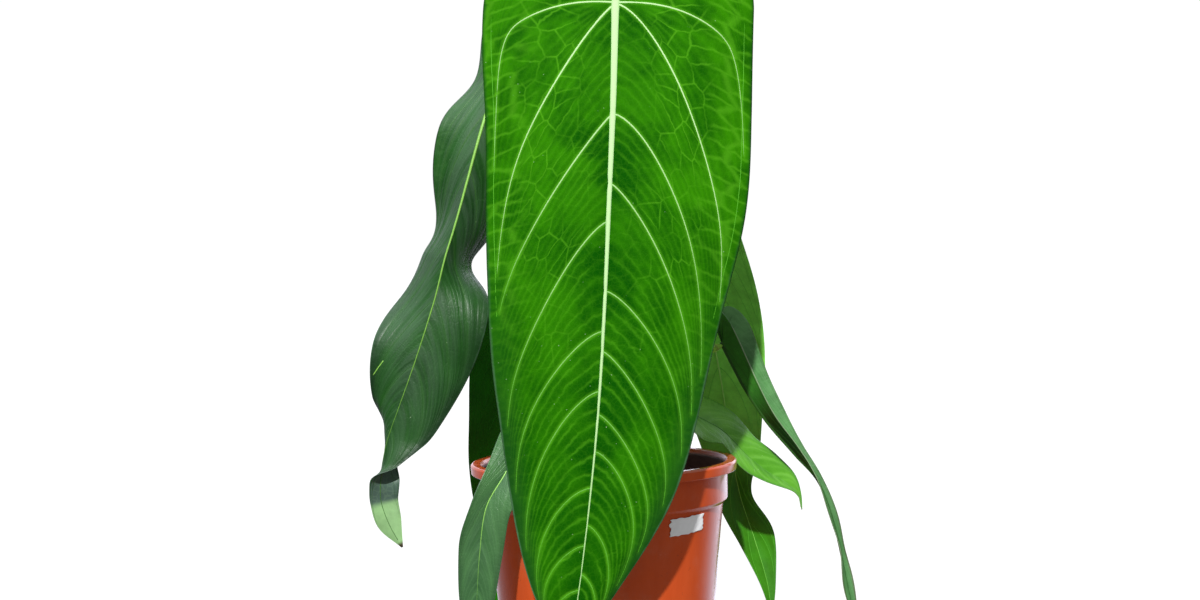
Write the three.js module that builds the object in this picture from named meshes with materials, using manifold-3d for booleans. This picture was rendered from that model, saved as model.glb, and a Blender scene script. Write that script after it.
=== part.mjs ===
// A queen anthurium with long pendant leaves, in a tapered plastic nursery pot.
// Millimetres, +Z up, -Y towards the viewer. The origin is the centre of the pot's flat foot.
import * as THREE from "three";
import { mergeVertices } from "three/addons/utils/BufferGeometryUtils.js";
import Module from "manifold-3d";

const wasm = await Module();
wasm.setup();

// Driving dimensions of the pot
const POT_HEIGHT = 160;
const POT_FOOT_RADIUS = 67;
const POT_SHOULDER_RADIUS = 80.2; // outside of the wall, just under the collar's step
const POT_COLLAR_RADIUS = 83.4;
const POT_RIM_RADIUS = 90;
const POT_WALL = 1.5;
const POT_FLOOR = 2;
const STEP_HEIGHT = 131;
const COLLAR_FOOT = 134;
const RIM_DEPTH = 7;
const POT_SIDES = 40;
const DRAIN_HOLES = 8;
const DRAIN_RADIUS = 5;
const DRAIN_CIRCLE = 50;

// Driving dimensions of what the pot holds
const GAP = 0.3; // between touching pieces
const MIX_HEIGHT = 137;
const CHIPS = 36;
const CHIP_LEAST = [9, 6, 4]; // length, width and thickness
const CHIP_MORE = [9, 5, 4]; // how much longer, wider and thicker a chip may be
const CHIP_TILT = 15; // degrees
const GOLDEN_ANGLE = Math.PI * (3 - Math.sqrt(5));
const STEM_RADIUS = 9.5;
const STEM_FOOT = 104;
const STEM_TOP = 214;
const STEM_BUD = 8; // what tapers above the top
const STEM_X = 0;
const STEM_Y = 3;
const SCAR_RINGS = 9;
const SCAR_DEPTH = 0.035; // as a share of the radius, each way
const ROOT_RADIUS = 2.1;
const ROOT_AZIMUTHS = [-62, -20, 62, 100, 152, 205];
const ROOT_DEPTH = 22; // below the top of the mix
const SHEATH_SPREAD = 26; // degrees each way at its foot
const SHEATH_HALF = 0.4; // half its thickness
// Each sheath's azimuth, foot and height
const SHEATHS = [
  [-145, 173, 30],
  [100, 177, 34],
  [-38, 187, 28],
  [20, 190, 25],
];
const BLADE_THICKNESS = 0.7;
const TIP_HALF_WIDTH = 0.6;
const LOBE_CROWN = 0.5; // where a basal lobe is highest, as a share of the half width
const LOBE_ROWS = 5;
const RIDGE_WIDTH = 1.3; // half width of the midrib's ridge, as a multiple of its height
const RIDGE_ABOVE = 0.35; // how much of the ridge also shows on the upper face
const RIDGE_TIP = 0.15; // what is left of it at the tip
const KNEE_LENGTH = 11;

// The blank paper label, below the collar and right of the front
const LABEL_FROM = 32; // degrees round from the front
const LABEL_TO = 53;
const LABEL_LOW = 118;
const LABEL_HIGH = 129.6;
const LABEL_THICKNESS = 0.6;
const LABEL_TEAR = 0.55; // degrees
const LABEL_SAG = 1.2;

const COLOURS = {
  pot: 0xb5482a,
  label: 0xe6e3da,
  mix: 0x4a3324,
  stem: 0x6f5a34,
  petiole: 0x6e9a35,
  blade: 0x2c7a1c,
};

const radians = THREE.MathUtils.degToRad;

// Repeatable random numbers from 0 to 1
function seeded(seed) {
  let state = seed;
  return () => {
    state = (state * 1664525 + 1013904223) % 4294967296;
    return state / 4294967296;
  };
}

// The values at u, from 0 to 1, of a smooth curve through rows of numbers
function through(rows, u) {
  const last = rows.length - 1;
  const i = Math.min(Math.floor(u * last), last - 1);
  const w = u * last - i;
  const beyond = (end, inner) => end.map((value, c) => 2 * value - inner[c]);
  const before = i > 0 ? rows[i - 1] : beyond(rows[0], rows[1]);
  const after = i < last - 1 ? rows[i + 2] : beyond(rows[last], rows[last - 1]);
  return rows[i].map((start, c) => {
    const end = rows[i + 1][c];
    const leave = (end - before[c]) / 2;
    const arrive = (after[c] - start) / 2;
    const bend = 3 * (end - start) - 2 * leave - arrive;
    const turn = 2 * (start - end) + leave + arrive;
    return start + w * (leave + w * (bend + w * turn));
  });
}

const vector = (values) => new THREE.Vector3(...values);

// The leaves. Each knot of the midrib runs from the top of the basal lobes, through the joint with the
// petiole (the second knot), to the tip: its place, the way the upper face looks, the fold of the left and
// right half out of that face and how far each half rolls from midrib to margin, both in degrees, and the
// half widths. lobe is the basal lobes' height above the joint, and wave is the margin's height, its number
// of waves along the blade and their start.
const LEAVES = {
  front: {
    knots: [
      { at: [17, -74, 512], face: [0, -1, 0.3], fold: [4, 4], curl: [-30, -30], half: [84, 89] },
      { at: [14, -93, 461], face: [0, -1, 0.3], fold: [7, 7], curl: [-34, -34], half: [86, 90] },
      { at: [11, -113, 398], face: [0.02, -1, 0.25], fold: [9, 9], curl: [-38, -36], half: [83, 91] },
      { at: [7, -126, 336], face: [0.02, -1, 0.15], fold: [9, 9], curl: [-38, -34], half: [80, 87] },
      { at: [3, -133, 275], face: [0, -1, 0.05], fold: [9, 9], curl: [-38, -38], half: [74, 77] },
      { at: [-2, -137, 213], face: [-0.02, -1, 0], fold: [8, 8], curl: [-38, -40], half: [68, 66] },
      { at: [-9, -138, 152], face: [-0.05, -1, 0], fold: [8, 8], curl: [-36, -40], half: [53, 50] },
      { at: [-18, -136, 90], face: [-0.08, -1, -0.05], fold: [10, 10], curl: [-30, -36], half: [28, 21] },
      { at: [-26, -131, 50], face: [-0.1, -1, -0.1], fold: [14, 14], curl: [-20, -20], half: [0.6, 0.6] },
    ],
    lobe: 53,
    wave: [2.2, 2.5, 0.5],
    ridge: 2,
    grid: [28, 5],
    petiole: {
      foot: [200, -88],
      via: [[6, -30, 240], [9, -44, 310], [12, -52, 390], [14, -55, 440]],
      radius: [4.6, 2.7, 3.6],
    },
  },
  left: {
    knots: [
      { at: [-38, -2, 492], face: [-0.55, -0.7, 0.45], fold: [0, 0], curl: [-20, -20], half: [38, 42] },
      { at: [-49, -18, 463], face: [-0.55, -0.7, 0.45], fold: [-6, -6], curl: [-24, -24], half: [38, 43] },
      { at: [-62, -33, 423], face: [-0.5, -0.8, 0.35], fold: [-10, -24], curl: [-14, -20], half: [26, 43] },
      { at: [-75, -45, 383], face: [-0.4, -0.9, 0.2], fold: [-2, -40], curl: [4, -20], half: [32, 42] },
      { at: [-91, -54, 328], face: [-0.3, -0.95, 0.1], fold: [-40, -52], curl: [-18, -24], half: [35, 38] },
      { at: [-100, -58, 300], face: [-0.25, -1, 0.1], fold: [-38, -60], curl: [-18, -22], half: [40, 33] },
      { at: [-107, -60, 274], face: [-0.2, -1, 0.1], fold: [-26, -12], curl: [-20, -24], half: [36.5, 36] },
      { at: [-120, -61, 236], face: [-0.1, -1, 0.1], fold: [-8, -6], curl: [-16, -28], half: [32, 37] },
      { at: [-133, -59, 202], face: [-0.3, -1, 0.1], fold: [-10, -2], curl: [-24, -26], half: [24, 30] },
      { at: [-140, -56, 184], face: [-0.6, -0.8, 0.1], fold: [-14, -4], curl: [-54, -34], half: [17, 23] },
      { at: [-144, -54, 168], face: [-1, -0.1, 0.1], fold: [-6, -6], curl: [-74, -70], half: [14, 14] },
      { at: [-146, -54, 155], face: [-0.5, 0.9, 0], fold: [0, 0], curl: [-34, -30], half: [13, 8] },
      { at: [-146, -53, 142], face: [-0.3, 1, 0], fold: [4, 4], curl: [-10, -10], half: [11.5, 7] },
      { at: [-141, -53, 127], face: [-0.05, 1, 0.15], fold: [8, 8], curl: [-5, -5], half: [8.5, 7.5] },
      { at: [-133, -53, 112], face: [0.1, 1, 0.3], fold: [14, 14], curl: [0, 0], half: [0.6, 0.6] },
    ],
    lobe: 30,
    wave: [3, 3, 1.2],
    ridge: 1.5,
    grid: [34, 4],
    petiole: {
      foot: [192, 170],
      via: [[-24, 2, 235], [-30, 6, 310], [-36, 8, 390], [-40, 6, 440]],
      radius: [4.2, 2.4, 3.1],
    },
  },
  back_left: {
    knots: [
      { at: [-40, 32, 318], face: [-0.4, 0.8, 0.4], fold: [0, 0], curl: [-20, -20], half: [29, 22] },
      { at: [-46, 50, 296], face: [-0.4, 0.8, 0.4], fold: [6, 6], curl: [-24, -24], half: [30, 24] },
      { at: [-58, 76, 255], face: [-0.4, 0.9, 0.3], fold: [8, 8], curl: [-26, -26], half: [32, 29] },
      { at: [-67, 92, 210], face: [-0.35, 1, 0.1], fold: [8, 8], curl: [-26, -26], half: [31, 30] },
      { at: [-71, 99, 162], face: [-0.35, 1, 0], fold: [8, 8], curl: [-24, -24], half: [28, 28] },
      { at: [-74, 100, 110], face: [-0.35, 1, -0.1], fold: [8, 8], curl: [-24, -24], half: [22, 21] },
      { at: [-79, 96, 64], face: [-0.4, 1, -0.1], fold: [12, 12], curl: [-10, -10], half: [11, 11] },
      { at: [-83, 90, 36], face: [-0.4, 1, -0.2], fold: [14, 14], curl: [0, 0], half: [0.6, 0.6] },
    ],
    lobe: 22,
    wave: [1.6, 3, 0.4],
    ridge: 1.3,
    grid: [18, 4],
    petiole: {
      foot: [168, 128],
      via: [[-17, 20, 196], [-26, 27, 238], [-33, 31, 278]],
      radius: [3.8, 2.1, 2.8],
    },
  },
  low_left: {
    knots: [
      { at: [-28, -42, 218], face: [-0.3, -0.6, 0.8], fold: [20, 6], curl: [-10, -10], half: [14, 18] },
      { at: [-37, -55, 207], face: [-0.3, -0.6, 0.8], fold: [24, 8], curl: [-12, -12], half: [14, 19] },
      { at: [-51, -80, 187], face: [-0.35, -0.7, 0.6], fold: [38, 8], curl: [-14, -16], half: [14, 19] },
      { at: [-62, -93, 165], face: [-0.35, -0.85, 0.4], fold: [46, 8], curl: [-10, -16], half: [13, 18] },
      { at: [-75, -97, 143], face: [-0.3, -0.95, 0.2], fold: [50, 10], curl: [-6, -16], half: [11.5, 17] },
      { at: [-80, -96, 113], face: [-0.25, -1, 0], fold: [14, 10], curl: [-16, -16], half: [14, 15] },
      { at: [-83, -92, 80], face: [-0.2, -1, -0.1], fold: [12, 12], curl: [-14, -14], half: [11, 11] },
      { at: [-86, -86, 42], face: [-0.2, -1, -0.2], fold: [16, 16], curl: [0, 0], half: [0.6, 0.6] },
    ],
    lobe: 14,
    wave: [1.4, 2.5, 0],
    ridge: 1.1,
    grid: [18, 3],
    petiole: {
      foot: [160, -128],
      via: [[-22, -30, 188]],
      radius: [3.4, 1.9, 2.4],
    },
  },
  back_right: {
    knots: [
      { at: [45, 44, 366], face: [0.5, 0.7, 0.5], fold: [0, 0], curl: [-20, -20], half: [40, 36] },
      { at: [53, 62, 342], face: [0.45, 0.8, 0.4], fold: [6, 6], curl: [-24, -24], half: [42, 38] },
      { at: [65, 80, 299], face: [0.35, 0.9, 0.3], fold: [8, 8], curl: [-30, -26], half: [44, 38] },
      { at: [76, 90, 256], face: [0.3, 1, 0.2], fold: [8, 8], curl: [-30, -26], half: [40, 36] },
      { at: [85, 96, 210], face: [0.25, 1, 0.1], fold: [6, 6], curl: [-24, -24], half: [35, 32] },
      { at: [92, 101, 160], face: [0.35, 1, 0], fold: [-12, -8], curl: [-24, -24], half: [27, 22] },
      { at: [98, 102, 122], face: [0.55, 1, 0], fold: [-34, -24], curl: [-14, -14], half: [20, 18] },
      { at: [108, 99, 88], face: [0.3, 1, 0], fold: [4, 4], curl: [-14, -14], half: [16, 12] },
      { at: [116, 95, 58], face: [0.3, 1, 0], fold: [10, 10], curl: [-10, -10], half: [6.5, 6] },
      { at: [119, 92, 33], face: [0.3, 1, -0.2], fold: [16, 16], curl: [0, 0], half: [0.6, 0.6] },
    ],
    lobe: 26,
    wave: [2, 3, 2],
    ridge: 1.4,
    grid: [28, 4],
    petiole: {
      foot: [184, 52],
      via: [[16, 24, 222], [26, 34, 275], [34, 40, 322]],
      radius: [3.9, 2.2, 2.9],
    },
  },
  mid_right: {
    knots: [
      { at: [73, 19, 262], face: [0.9, -0.12, 0.35], fold: [70, 68], curl: [-10, 0], half: [13, 22] },
      { at: [83, 21, 236], face: [0.88, -0.14, 0.4], fold: [72, 70], curl: [-10, 0], half: [13, 23] },
      { at: [98, 23, 205], face: [0.84, -0.16, 0.5], fold: [74, 70], curl: [-10, 0], half: [11, 19] },
      { at: [113, 24, 181], face: [0.8, -0.14, 0.6], fold: [74, 70], curl: [-8, 0], half: [8, 15] },
      { at: [130, 24, 160], face: [0.7, -0.1, 0.7], fold: [74, 70], curl: [0, 0], half: [5.5, 9] },
      { at: [146, 23, 141], face: [0.6, -0.7, 0.45], fold: [50, 50], curl: [0, 0], half: [4, 4.2] },
      { at: [155, 21, 119], face: [0.5, -0.85, 0.2], fold: [30, 30], curl: [0, 0], half: [3.8, 4.2] },
      { at: [161, 19, 93], face: [0.85, -0.5, 0.2], fold: [24, 24], curl: [0, 0], half: [4.8, 4.4] },
      { at: [166, 16, 65], face: [0.4, -0.9, 0.2], fold: [20, 20], curl: [0, 0], half: [4.6, 4.6] },
      { at: [172, 13, 34], face: [0.6, -0.8, 0.2], fold: [20, 20], curl: [0, 0], half: [0.6, 0.6] },
    ],
    lobe: 22,
    wave: [0.6, 3, 0],
    ridge: 1.2,
    grid: [28, 3],
    petiole: {
      foot: [176, -12],
      via: [[39, 8, 211], [57, 17, 224]],
      radius: [3.6, 2, 2.6],
    },
  },
  low_right: {
    knots: [
      { at: [32, 4, 205], face: [0.3, -0.35, 0.85], fold: [6, 6], curl: [-10, -10], half: [16, 16] },
      { at: [45, 11, 197], face: [0.3, -0.4, 0.85], fold: [8, 8], curl: [-14, -14], half: [22, 21] },
      { at: [66, 24, 185], face: [0.35, -0.5, 0.75], fold: [8, 8], curl: [-16, -16], half: [23, 25] },
      { at: [83, 34, 174], face: [0.35, -0.55, 0.75], fold: [12, 10], curl: [-14, -16], half: [16, 25] },
      { at: [99, 38, 157], face: [0.4, -0.55, 0.7], fold: [12, 12], curl: [-16, -16], half: [16, 21] },
      { at: [113, 38, 145], face: [0.5, -0.55, 0.6], fold: [12, 12], curl: [-16, -16], half: [12, 19] },
      { at: [126, 35, 137], face: [0.6, -0.6, 0.5], fold: [12, 12], curl: [-14, -14], half: [8, 13] },
      { at: [134, 32, 129], face: [0.8, -0.5, 0.3], fold: [16, 16], curl: [0, 0], half: [2.2, 3.4] },
      { at: [136, 29, 119], face: [0.9, -0.4, 0.1], fold: [20, 20], curl: [0, 0], half: [0.6, 0.6] },
    ],
    lobe: 13,
    wave: [1, 2.5, 1],
    ridge: 1.1,
    grid: [18, 3],
    petiole: {
      foot: [152, 18],
      via: [[31, 13, 180]],
      radius: [3.3, 1.8, 2.3],
    },
  },
};

// The midrib of a leaf: rows of numbers at even steps, with how far along each lies from the joint
function midribOf(leaf) {
  const rows = leaf.knots.map((k) => [...k.at, ...k.face, ...k.fold, ...k.curl, ...k.half]);
  const steps = 400;
  const samples = [];
  let along = 0;
  for (let i = 0; i <= steps; i += 1) {
    const values = through(rows, i / steps);
    const place = vector(values.slice(0, 3));
    if (i > 0) along += place.distanceTo(samples[i - 1].place);
    samples.push({ values, place, along });
  }
  const joint = samples[Math.round(steps / (leaf.knots.length - 1))].along;
  samples.forEach((sample) => (sample.along -= joint));
  return samples;
}

// The midrib's place, directions, angles and half widths at a distance along it from the joint
function midribAt(samples, along) {
  const last = samples.length - 1;
  let i = samples.findIndex((sample) => sample.along >= along);
  i = i < 0 ? last : Math.max(i, 1);
  const [a, b] = [samples[i - 1], samples[i]];
  const w = (along - a.along) / (b.along - a.along);
  const values = a.values.map((value, c) => value + w * (b.values[c] - value));
  const tangent = b.place.clone().sub(a.place).normalize();
  const face = vector(values.slice(3, 6));
  face.addScaledVector(tangent, -face.dot(tangent)).normalize();
  const side = face.clone().cross(tangent);
  const half = values.slice(10).map((width) => Math.max(width, TIP_HALF_WIDTH));
  return { place: vector(values.slice(0, 3)), face, side, angles: values.slice(6, 10), half };
}

// Inner and outer edge of a basal lobe at a distance above the joint: a narrow cleft and a round shoulder
function lobeEdges(width, height, above) {
  const crown = LOBE_CROWN * width;
  const climb = Math.min(above / height, 1);
  const inner = crown * (1 - Math.cbrt(1 - climb ** 3));
  const outer = crown + (width - crown) * Math.sqrt(1 - climb ** 2);
  return [inner, Math.max(outer, inner + TIP_HALF_WIDTH)];
}

// The point of the blade's middle surface at a distance along the midrib and across from it
function bladePoint(leaf, samples, along, across) {
  const { place, face, side, angles } = midribAt(samples, along);
  const length = samples[samples.length - 1].along;
  const sideIndex = across < 0 ? 0 : 1;
  const width = midribAt(samples, Math.max(along, 0)).half[sideIndex];
  const f = Math.min(Math.abs(across) / width, 1);
  const fold = radians(angles[sideIndex]);
  const curl = radians(angles[2 + sideIndex]) || 1e-6;
  const out = (Math.sin(fold + curl * f) - Math.sin(fold)) / curl;
  const up = (Math.cos(fold) - Math.cos(fold + curl * f)) / curl;
  const [height, waves, start] = leaf.wave;
  const phase = (2 * Math.PI * waves * along) / length + start + 2.1 * sideIndex;
  const wave = height * f * f * Math.sin(phase) * Math.min(1, width / 20);
  return place
    .addScaledVector(side, (sideIndex ? 1 : -1) * (width * out - wave * Math.sin(fold + curl * f)))
    .addScaledVector(face, width * up + wave * Math.cos(fold + curl * f));
}

// A closed solid from an open sheet: its points, how far each is thickened up and down, and its triangles
function thickened(points, above, below, triangles) {
  const normals = points.map(() => new THREE.Vector3());
  for (const [a, b, c] of triangles) {
    const normal = points[b].clone().sub(points[a]).cross(points[c].clone().sub(points[a]));
    [a, b, c].forEach((i) => normals[i].add(normal));
  }
  const top = points.map((p, i) => p.clone().addScaledVector(normals[i].normalize(), above[i]));
  const bottom = points.map((p, i) => p.clone().addScaledVector(normals[i], -below[i]));
  const n = points.length;
  const faces = triangles.flatMap(([a, b, c]) => [a, b, c, n + a, n + c, n + b]);
  const edges = new Set(triangles.flatMap(([a, b, c]) => [`${a} ${b}`, `${b} ${c}`, `${c} ${a}`]));
  for (const edge of edges) {
    const [a, b] = edge.split(" ").map(Number);
    if (!edges.has(`${b} ${a}`)) faces.push(a, n + a, b, b, n + a, n + b);
  }
  const positions = [...top, ...bottom].flatMap((p) => [p.x, p.y, p.z]);
  return solidFrom(positions, faces);
}

// The triangles of a sheet of points laid out in rows
function sheetTriangles(rows, columns) {
  const triangles = [];
  for (let r = 0; r < rows; r += 1)
    for (let c = 0; c < columns; c += 1) {
      const a = r * (columns + 1) + c;
      const b = a + columns + 1;
      triangles.push([a, a + 1, b + 1], [a, b + 1, b]);
    }
  return triangles;
}

function solidFrom(positions, faces) {
  return new THREE.BufferGeometry()
    .setAttribute("position", new THREE.Float32BufferAttribute(positions, 3))
    .setIndex(faces);
}

// A leaf blade: rows across the midrib, each halved into strips, with the midrib raised underneath
function blade(leaf) {
  const samples = midribOf(leaf);
  const length = samples[samples.length - 1].along;
  const [rowCount, strips] = leaf.grid;
  const jointHalf = midribAt(samples, 0).half;
  const points = [];
  const above = [];
  const below = [];
  const triangles = [];
  const addPoint = (along, across, ridge) => {
    points.push(bladePoint(leaf, samples, along, across));
    above.push(BLADE_THICKNESS / 2 + RIDGE_ABOVE * ridge);
    below.push(BLADE_THICKNESS / 2 + ridge);
    return points.length - 1;
  };
  const quad = (a, b, c, d) => triangles.push([a, b, c], [a, c, d]);
  const midribHalf = (width) => Math.min(leaf.ridge * RIDGE_WIDTH, width / 4);

  // The part below the joint, from margin to margin
  const rows = [];
  for (let r = 0; r <= rowCount; r += 1) {
    const along = (length * r) / rowCount;
    const ridge = r < rowCount ? leaf.ridge * (1 - ((1 - RIDGE_TIP) * r) / rowCount) : 0;
    const row = [];
    for (const sideIndex of [0, 1]) {
      const width = midribAt(samples, along).half[sideIndex];
      const inner = midribHalf(width);
      const half = [];
      for (let s = 0; s <= strips; s += 1) {
        const across = inner + ((width - inner) * s) / strips;
        half.push(addPoint(along, (sideIndex ? 1 : -1) * across, 0));
      }
      if (sideIndex === 0) row.push(...half.reverse(), addPoint(along, 0, ridge));
      else row.push(...half);
    }
    rows.push(row);
  }
  for (let r = 0; r < rowCount; r += 1)
    for (let c = 0; c < rows[r].length - 1; c += 1)
      quad(rows[r][c + 1], rows[r][c], rows[r + 1][c], rows[r + 1][c + 1]);

  // The two basal lobes above the joint, which share the joint's row
  for (const sideIndex of [0, 1]) {
    const sign = sideIndex ? 1 : -1;
    const middle = strips + 1;
    let lower = rows[0].slice(sideIndex ? middle : 0, sideIndex ? undefined : middle + 1);
    if (!sideIndex) lower = lower.reverse();
    for (let r = 1; r <= LOBE_ROWS; r += 1) {
      const height = leaf.lobe * Math.sin(((r / LOBE_ROWS) * Math.PI) / 2);
      const [inner, outer] = lobeEdges(jointHalf[sideIndex], leaf.lobe, height);
      const upper = lower.map((_, s) => {
        const share = Math.max(0, (s - 0.7) / (strips + 0.3));
        return addPoint(-height, sign * (inner + (outer - inner) * share), 0);
      });
      for (let s = 0; s < lower.length - 1; s += 1)
        if (sideIndex) quad(upper[s + 1], upper[s], lower[s], lower[s + 1]);
        else quad(upper[s], upper[s + 1], lower[s + 1], lower[s]);
      lower = upper;
    }
  }
  return thickened(points, above, below, triangles);
}

// A closed rod round a smooth curve, with flat ends, which may be given their own way to look,
// and a radius given along it
function rod(route, radiusAt, sides, steps, ends = []) {
  const places = [];
  for (let i = 0; i <= steps; i += 1) places.push(vector(through(route, i / steps)));
  const positions = [];
  let side = new THREE.Vector3();
  places.forEach((place, i) => {
    let tangent = places[Math.min(i + 1, steps)].clone().sub(places[Math.max(i - 1, 0)]).normalize();
    if (i === 0 && ends[0]) tangent = ends[0];
    if (i === steps && ends[1]) tangent = ends[1];
    if (i === 0) side = Math.abs(tangent.z) < 0.8 ? new THREE.Vector3(0, 0, 1) : new THREE.Vector3(1, 0, 0);
    side.addScaledVector(tangent, -side.dot(tangent)).normalize();
    const up = tangent.clone().cross(side);
    const radius = radiusAt(i / steps);
    for (let s = 0; s < sides; s += 1) {
      const angle = (2 * Math.PI * s) / sides;
      const p = place
        .clone()
        .addScaledVector(side, radius * Math.cos(angle))
        .addScaledVector(up, radius * Math.sin(angle));
      positions.push(p.x, p.y, p.z);
    }
  });
  const faces = [];
  const at = (i, s) => i * sides + (s % sides);
  for (let i = 0; i < steps; i += 1)
    for (let s = 0; s < sides; s += 1)
      faces.push(at(i, s), at(i, s + 1), at(i + 1, s + 1), at(i, s), at(i + 1, s + 1), at(i + 1, s));
  for (let s = 1; s < sides - 1; s += 1)
    faces.push(at(0, 0), at(0, s + 1), at(0, s), at(steps, 0), at(steps, s), at(steps, s + 1));
  return solidFrom(positions, faces);
}

// A petiole: from its seat on the stem, up its own route, to the knee that meets the blade from behind
function petiole(leaf) {
  const [height, azimuth] = leaf.petiole.foot;
  const outward = new THREE.Vector3(Math.cos(radians(azimuth)), Math.sin(radians(azimuth)), 0);
  const seat = new THREE.Vector3(STEM_X, STEM_Y, height);
  const sheath = [
    [GAP, 0],
    [3.5, 0.6],
    [8, 6],
    [12, 18],
  ].map(([out, rise]) => seat.clone().addScaledVector(outward, STEM_RADIUS + out).add(vector([0, 0, rise])));
  const { place, face } = midribAt(midribOf(leaf), 1.5);
  const depth = BLADE_THICKNESS / 2 + leaf.ridge + GAP;
  const end = place.clone().addScaledVector(face, -depth);
  const knee = place.clone().addScaledVector(face, -depth - KNEE_LENGTH);
  const route = [...sheath, ...leaf.petiole.via.map(vector), knee, end].map((p) => p.toArray());
  const [base, middle, swollen] = leaf.petiole.radius;
  const radiusAt = (u) => {
    const flare = Math.max(0, 1 - u / 0.45) ** 1.2;
    const genu = Math.exp(-(((u - 0.93) / 0.07) ** 2));
    return middle + (base - middle) * flare + (swollen - middle) * genu;
  };
  return rod(route, radiusAt, 6, 4 * (route.length - 1), [outward, face]);
}

// Booleans
function toManifold(geometry) {
  const bare = geometry.clone();
  bare.deleteAttribute("normal");
  bare.deleteAttribute("uv");
  const merged = mergeVertices(bare, 1e-3);
  const vertProperties = new Float32Array(merged.attributes.position.array);
  const triVerts = new Uint32Array(merged.index.array);
  return new wasm.Manifold(new wasm.Mesh({ numProp: 3, vertProperties, triVerts }));
}

function toGeometry(manifold) {
  const { vertProperties, triVerts } = manifold.getMesh();
  return solidFrom([...vertProperties], [...triVerts]);
}

const joined = (first, others) =>
  others.reduce((sum, other) => sum.add(toManifold(other)), toManifold(first));
const cut = (manifold, tools) => tools.reduce((left, tool) => left.subtract(toManifold(tool)), manifold);

// A solid of revolution about +Z from [radius, height] pairs that start and end on the axis
function turned(profile) {
  const lathe = new THREE.LatheGeometry(
    profile.map(([radius, height]) => new THREE.Vector2(radius, height)),
    POT_SIDES,
  );
  return lathe.rotateX(Math.PI / 2);
}

// Radius of the pot's outer wall below the step
const wallRadius = (height) =>
  POT_FOOT_RADIUS + ((POT_SHOULDER_RADIUS - POT_FOOT_RADIUS) * height) / STEP_HEIGHT;

// The pot: tapered wall, stepped collar, flat flange with a turned-down skirt, and a holed floor
function pot() {
  const top = POT_HEIGHT;
  const skirt = top - RIM_DEPTH;
  const inner = POT_COLLAR_RADIUS - POT_WALL;
  const profile = [
    [0, 0],
    [POT_FOOT_RADIUS - 1.5, 0],
    [wallRadius(2), 2],
    [POT_SHOULDER_RADIUS, STEP_HEIGHT],
    [POT_COLLAR_RADIUS, COLLAR_FOOT],
    [POT_COLLAR_RADIUS + 0.2, top - 2],
    [POT_RIM_RADIUS - 2, top - 2],
    [POT_RIM_RADIUS - 1.6, skirt + 0.5],
    [POT_RIM_RADIUS - 1, skirt],
    [POT_RIM_RADIUS - 0.3, skirt + 0.5],
    [POT_RIM_RADIUS, top - 1.4],
    [POT_RIM_RADIUS - 1.2, top],
    [inner + 1.8, top],
    [inner, top - 4],
    [inner - 0.4, COLLAR_FOOT + 1],
    [POT_SHOULDER_RADIUS - POT_WALL, STEP_HEIGHT],
    [wallRadius(POT_FLOOR) - POT_WALL, POT_FLOOR],
    [0, POT_FLOOR],
  ];
  const holes = [];
  for (let i = 0; i < DRAIN_HOLES; i += 1) {
    const angle = (2 * Math.PI * (i + 0.5)) / DRAIN_HOLES;
    const hole = new THREE.CylinderGeometry(DRAIN_RADIUS, DRAIN_RADIUS, 4 * POT_FLOOR, 16);
    hole.rotateX(Math.PI / 2);
    hole.translate(DRAIN_CIRCLE * Math.cos(angle), DRAIN_CIRCLE * Math.sin(angle), 0);
    holes.push(hole);
  }
  return toGeometry(cut(toManifold(turned(profile)), holes));
}

// The upright stem with its rings of leaf scars, and extra room all round for the hole that it stands in
function stemBody(room) {
  const heights = [STEM_FOOT - room, (STEM_FOOT + STEM_TOP) / 2, STEM_TOP, STEM_TOP + STEM_BUD];
  const radiusAt = (u) => {
    const root = Math.min(1, 0.5 + 2.5 * u);
    const bud = Math.min(1, 0.25 + 1.9 * Math.sqrt(Math.max(0, 1 - u)));
    const scar = 1 - SCAR_DEPTH * (1 + Math.cos(2 * Math.PI * SCAR_RINGS * u));
    return STEM_RADIUS * root * bud * scar + room;
  };
  return rod(heights.map((height) => [STEM_X, STEM_Y, height]), radiusAt, 12, 26);
}

// Aerial roots: from the stem, out and down into the mix
function roots(room) {
  const random = seeded(11);
  return ROOT_AZIMUTHS.map((azimuth) => {
    const reach = 17 + 9 * random();
    const from = MIX_HEIGHT + 11 + 10 * random();
    const at = (distance, height) => [
      STEM_X + distance * Math.cos(radians(azimuth)),
      STEM_Y + distance * Math.sin(radians(azimuth)),
      height,
    ];
    const route = [
      at(STEM_RADIUS - 4, from),
      at(STEM_RADIUS + 3, from - 1),
      at(reach - 4, from - 9),
      at(reach, MIX_HEIGHT - 4),
      at(reach - 1, MIX_HEIGHT - ROOT_DEPTH - room),
    ];
    return rod(route, (u) => ROOT_RADIUS * (1 - 0.25 * u) + room, 5, 8);
  });
}

// Dry brown sheaths, which clasp the stem between the petioles and lean away from it above
function sheaths() {
  const rows = 5;
  const columns = 4;
  return SHEATHS.map(([azimuth, foot, height]) => {
    const points = [];
    for (let r = 0; r <= rows; r += 1) {
      const rise = r / rows;
      const spread = SHEATH_SPREAD * Math.pow(1 - rise, 0.7) + 2;
      const radius = STEM_RADIUS - 2.5 + 9 * rise;
      for (let c = 0; c <= columns; c += 1) {
        const angle = radians(azimuth + spread * ((2 * c) / columns - 1));
        const [x, y] = [STEM_X + radius * Math.cos(angle), STEM_Y + radius * Math.sin(angle)];
        points.push(new THREE.Vector3(x, y, foot + height * rise));
      }
    }
    const half = points.map(() => SHEATH_HALF);
    return thickened(points, half, half, sheetTriangles(rows, columns));
  });
}

function stem() {
  return toGeometry(joined(stemBody(0), [...roots(0), ...sheaths()]));
}

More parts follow.
